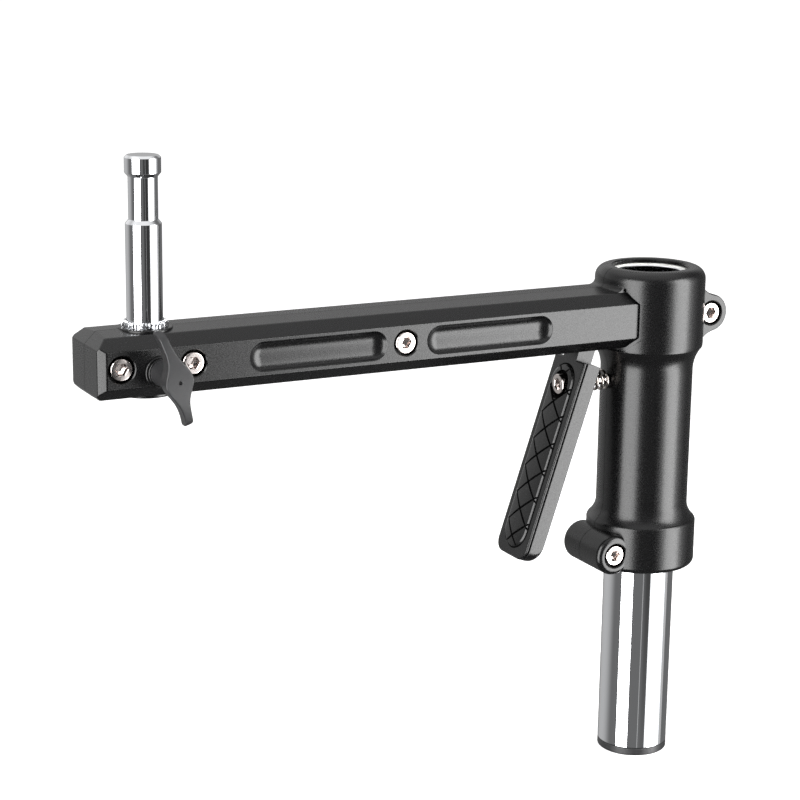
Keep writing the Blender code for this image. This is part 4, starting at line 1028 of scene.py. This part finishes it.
def wing_blank():
    count = 56
    loops = []
    for i in range(count + 1):
        along = -KNOB_SPAN * math.cos(math.pi * i / count)
        loops.append([(x, y, along) for x, y in wing_section(along)])
    bm = lofted(loops)
    spot = Matrix.Translation((stud_x, knob_low.y, lock_level))
    bmesh.ops.transform(bm, matrix=spot @ Matrix.Rotation(KNOB_TILT, 4, "Y"), verts=bm.verts)
    return bm


def knob_hub():
    """The hub behind the wings, waisted down to the collar."""
    length = knob_high.y - knob_low.y
    outline = [
        (0, -0.0030),
        (0.0050, -0.0030),
        (0.0058, -KNOB_THICK),
        (0.0052, -KNOB_THICK - 0.0030),
        (0.0050, -length + 0.0022),
        (0.0056, -length + 0.0012),
        (0.0056, -length),
        (0, -length),
    ]
    bm = spun(outline, steps=72)
    spot = Matrix.Translation((stud_x, knob_low.y, lock_level))
    bmesh.ops.transform(bm, matrix=spot @ Matrix.Rotation(math.pi / 2, 4, "X"), verts=bm.verts)
    return bm


dimple_mouth = Vector((stud_x, knob_low.y - 0.001, lock_level))
dimple = bar(dimple_mouth, dimple_mouth + Vector((0, 0.0020, 0)), 0.0011, 24, 0.0007)
screw_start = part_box("wing_screw")[0].y - 0.0003
screw_room = bar((stud_x, screw_start, lock_level), (stud_x, 0, lock_level), 0.0043, 48)
knob = shaped(wing_blank(), [("UNION", knob_hub()), ("DIFFERENCE", dimple), ("DIFFERENCE", screw_room)])
fit_piece(knob, "wing", "wing", NYLON, "black_plastic", "wing_knob", sharp=35)


# Brake lever
# A die-cast plate that hangs from a pin in the arm's root, coated like the castings. A fine bead runs
# round its outer edge, and its lower end is rounded. Its tongue and nose work the brake block.

LEVER_TILT = math.radians(18.25)
LEVER_START, LEVER_END = 0.0142, 0.1150
LEVER_HALF = 0.0135
LEVER_OUTER = 0.0024
INNER_START, INNER_END = 0.0074, 0.0072
LEVER_CORNER = 0.0060
LEVER_TOE = 0.0048  # the rounding of the lower end, seen from the side
GRIP_START, GRIP_END = 0.0172, 0.1108
GRIP_HALF = 0.0098
GRIP_DEPTH = 0.0024
GRIP_PROUD = 0.0018

pin_low, pin_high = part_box("lever_pivot_pin")
pivot = (pin_low + pin_high) / 2
TO_LEVER = Matrix.Translation(pivot) @ Matrix.Rotation(LEVER_TILT, 4, "Y")


def lever_inner(z):
    share = (-z - LEVER_START) / (LEVER_END - LEVER_START)
    return INNER_START + (INNER_END - INNER_START) * share


def lever_loop(margin, pull, depth, from_inner):
    """Outline of the plate, as points at a depth below its outer or its inner face."""
    half = LEVER_HALF - margin
    low = -LEVER_END + margin + pull
    top = -LEVER_START - margin
    corner = LEVER_CORNER - margin
    outline = [
        (half, top),
        *[(half, top + (low + corner - top) * i / 8) for i in range(1, 8)],
        *arc((half - corner, low + corner), corner, 0, -90, 8),
        *arc((-half + corner, low + corner), corner, -90, -180, 8),
        *[(-half, low + corner + (top - low - corner) * i / 8) for i in range(1, 8)],
        (-half, top),
    ]
    if from_inner:
        return [(lever_inner(z) - depth, y, z) for y, z in outline]
    return [(-LEVER_OUTER + depth, y, z) for y, z in outline]


def toe(depth):
    """How far the lower end falls back at a depth from the inner face."""
    return LEVER_TOE - math.sqrt(max(0.0, LEVER_TOE**2 - (LEVER_TOE - min(depth, LEVER_TOE)) ** 2))


def lever_plate():
    bead = (
        (0.0008, 0.0),
        (0.0004, 0.00008),
        (0.0001, 0.0003),
        (0.0, 0.0006),
        (0.0, 0.0011),
        (0.0003, 0.0013),
        (0.0009, 0.00145),
        (0.0009, 0.0020),
        (0.0003, 0.0022),
        (0.0, 0.0024),
    )
    loops = [lever_loop(margin, 0, depth, False) for margin, depth in bead]
    for depth in (0.0048, 0.0036, 0.0024, 0.0014, 0.0007):
        loops.append(lever_loop(0.0, toe(depth), depth, True))
    loops.append(lever_loop(0.0002, toe(0.0002), 0.0002, True))
    loops.append(lever_loop(0.0008, toe(0.0), 0.0, True))
    bm = lofted(loops)
    bmesh.ops.transform(bm, matrix=TO_LEVER, verts=bm.verts)
    return bm


def long_round(margin, x):
    """The grip's outline, straight sides and round ends, at a place along the lever's own X."""
    half = GRIP_HALF - margin
    upper = arc((0, -GRIP_START - GRIP_HALF), half, 0, 180, 16)
    lower = arc((0, -GRIP_END + GRIP_HALF), half, 180, 360, 16)
    return [(x, y, z) for y, z in upper + lower]


bolt_low, bolt_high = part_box("stop_bolt")
bolt_level = (bolt_low.z + bolt_high.z) / 2


def bolt_room():
    return bar((bolt_low.x - 0.006, 0, bolt_level), (bolt_low.x + 0.0063, 0, bolt_level), 0.0068, 48)


def lever_steps():
    width = 0.0060
    hub = bar((0, -width, 0), (0, width, 0), 0.0055)
    tongue = block((-LEVER_OUTER, -width, -LEVER_START - 0.002), (0.0088 - LEVER_OUTER, width, 0))
    for solid in (hub, tongue):
        bmesh.ops.transform(solid, matrix=TO_LEVER, verts=solid.verts)
    nose = pivot + Vector((0, 0, 0.0090))
    neck = block((pivot.x - 0.0024, -width, pivot.z), (pivot.x + 0.0024, width, nose.z))
    tip = bar(nose - Vector((0, width, 0)), nose + Vector((0, width, 0)), 0.0040)
    recess = lofted(
        [
            long_round(-0.0006, -LEVER_OUTER - 0.002),
            long_round(-0.0006, -LEVER_OUTER - 0.0002),
            long_round(0.0, -LEVER_OUTER + 0.0004),
            long_round(0.0, -LEVER_OUTER + GRIP_DEPTH),
        ]
    )
    bmesh.ops.transform(recess, matrix=TO_LEVER, verts=recess.verts)
    slot = block((bolt_low.x, -0.0030, bolt_level - 0.0048), (-WAIST_RADIUS, 0.0030, bolt_level + 0.0048))
    pin = bar(pivot - Vector((0, 0.012, 0)), pivot + Vector((0, 0.012, 0)), 0.0028, 32)
    return [
        ("UNION", tongue),
        ("UNION", hub),
        ("UNION", neck),
        ("UNION", tip),
        ("DIFFERENCE", pin),
        ("DIFFERENCE", recess),
        ("DIFFERENCE", bolt_room()),
        ("DIFFERENCE", slot),
    ]


fit_piece(shaped(lever_plate(), lever_steps()), "lever", "lever", COAT, "black_paint", "brake_lever")


# Lever grip
# A black rubber pad let into the lever's outer face. Crossed grooves leave raised diamonds, about two
# across, and a round hole at its upper end leaves room for the stop bolt's head.

DIAMOND_PITCH = 0.0137  # from groove to groove, along the lever
GROOVE_LEAN = math.radians(41)
GROOVE_HALF = 0.0006
GROOVE_DEPTH = 0.0018


def grip_blank():
    """The pad: a dished stack of outlines, crowned across."""
    floor = -LEVER_OUTER + GRIP_DEPTH - 0.0003
    face = -LEVER_OUTER - GRIP_PROUD
    rise = [(0.0003, floor), (0.0003, -LEVER_OUTER), (0.0004, face + 0.0016), (0.0007, face + 0.0013)]
    steps = [0.0011 + 0.0012 * i for i in range(7)]
    crown = [(step, face + 0.0012 * (1 - step / GRIP_HALF) ** 2) for step in steps]
    bm = lofted([long_round(margin, x) for margin, x in rise + crown])
    bmesh.ops.transform(bm, matrix=TO_LEVER, verts=bm.verts)
    return bm


def grip_grooves():
    """Bars that narrow inwards, laid both ways across the pad's face."""
    bm = bmesh.new()
    middle = -(GRIP_START + GRIP_END) / 2
    count = int((GRIP_END - GRIP_START) / 2 / DIAMOND_PITCH) + 2
    for lean in (GROOVE_LEAN, -GROOVE_LEAN):
        for i in range(-count, count + 1):
            verts = bmesh.ops.create_cube(bm, size=1)["verts"]
            bmesh.ops.scale(bm, vec=(2 * GROOVE_DEPTH, 0.04, 2 * GROOVE_HALF), verts=verts)
            for vert in verts:
                vert.co.z *= 0.55 if vert.co.x > 0 else 1.45
            bmesh.ops.rotate(bm, cent=(0, 0, 0), matrix=Matrix.Rotation(lean, 3, "X"), verts=verts)
            place = (-LEVER_OUTER - GRIP_PROUD, 0, middle + i * DIAMOND_PITCH)
            bmesh.ops.translate(bm, vec=place, verts=verts)
    bmesh.ops.transform(bm, matrix=TO_LEVER, verts=bm.verts)
    return bm


RUBBER_BLACK = (0.0030, 0.0030, 0.0032)
RUBBER = grained_finish("grip_rubber", RUBBER_BLACK, 0.0, 1100, (0.22, 0.36), 0.00001, detail=3.0)
smooth_grip = solid_again(shaped(grip_blank(), [("DIFFERENCE", bolt_room())]))
grip = shaped(smooth_grip, [("DIFFERENCE", grip_grooves())], crossing=True)
fit_piece(grip, "grip_pad", "lever", RUBBER, "black_rubber", "lever_grip")


# Stop bolt and spring
# A cap screw through the lever, held in the sleeve's wall, that stops the lever's outward swing. The
# return spring is wound round it, four open turns of 1.4 mm steel wire. The bolt's shank is blackened.

SPRING_RADIUS = 0.0044
SPRING_WIRE = 0.00072
SPRING_TURNS = 4.0
BOLT_RADIUS = 0.0024
SPRING_POINTS = 24  # a turn

OXIDE = grained_finish("black_oxide", (0.03, 0.03, 0.032), 0.6, 600, (0.35, 0.55), 0.00001)
SPRING_STEEL = grained_finish("spring_steel", (0.50, 0.46, 0.43), 1.0, 900, (0.12, 0.28), 0.000003)

bolt = cap_screw(HEAD_RADIUS_M6, 0.0, HEAD_HEIGHT_M6, BOLT_RADIUS, bolt_high.x - bolt_low.x)
spot = Matrix.Translation((bolt_low.x, 0, bolt_level)) @ Matrix.Rotation(-math.pi / 2, 4, "Y")
bmesh.ops.transform(bolt, matrix=spot, verts=bolt.verts)
for face in bolt.faces:
    if face.calc_center_median().x > bolt_low.x + HEAD_HEIGHT_M6 + 0.0001:
        face.material_index = 2
fit_piece(bolt, "lever_stop_bolt", "arm", [NICKEL, RECESS_SHADE, OXIDE], "nickel", "stop_bolt")


def wind_spring():
    low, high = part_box("lever_spring")
    start, end = low.x + SPRING_WIRE, high.x - SPRING_WIRE
    count = int(SPRING_TURNS * SPRING_POINTS)
    curve = bpy.data.curves.new("spring", "CURVE")
    curve.dimensions = "3D"
    curve.bevel_depth = SPRING_WIRE
    curve.bevel_resolution = 3
    curve.use_fill_caps = True
    spline = curve.splines.new("POLY")
    spline.points.add(count)
    for i, point in enumerate(spline.points):
        angle = 2 * math.pi * i / SPRING_POINTS
        x = start + (end - start) * i / count
        y = SPRING_RADIUS * math.cos(angle)
        z = bolt_level + SPRING_RADIUS * math.sin(angle)
        point.co = (x, y, z, 1)
    rough = bpy.data.objects.new("spring", curve)
    bpy.context.scene.collection.objects.link(rough)
    bpy.context.view_layer.update()
    mesh = bpy.data.meshes.new_from_object(rough.evaluated_get(bpy.context.evaluated_depsgraph_get()))
    bpy.data.objects.remove(rough)
    bm = bmesh.new()
    bm.from_mesh(mesh)
    bmesh.ops.remove_doubles(bm, verts=bm.verts, dist=0.00001)
    bmesh.ops.recalc_face_normals(bm, faces=bm.faces)
    return bm


spring = fit_piece(wind_spring(), "return_spring", "arm", SPRING_STEEL, "steel", "lever_spring", sharp=60)
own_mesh(spring)


# Brake lining
# A pad of woven friction stuff, bonded to the brake block and hollowed to the column. It shows only when
# the castings are taken apart.


LINING = grained_finish(
    "woven_lining", (0.10, 0.075, 0.055), 0.0, 1200, (0.7, 0.95), 0.0001, (1, 0.3, 1), 4.0
)
finish_node("brake_lining", LINING)
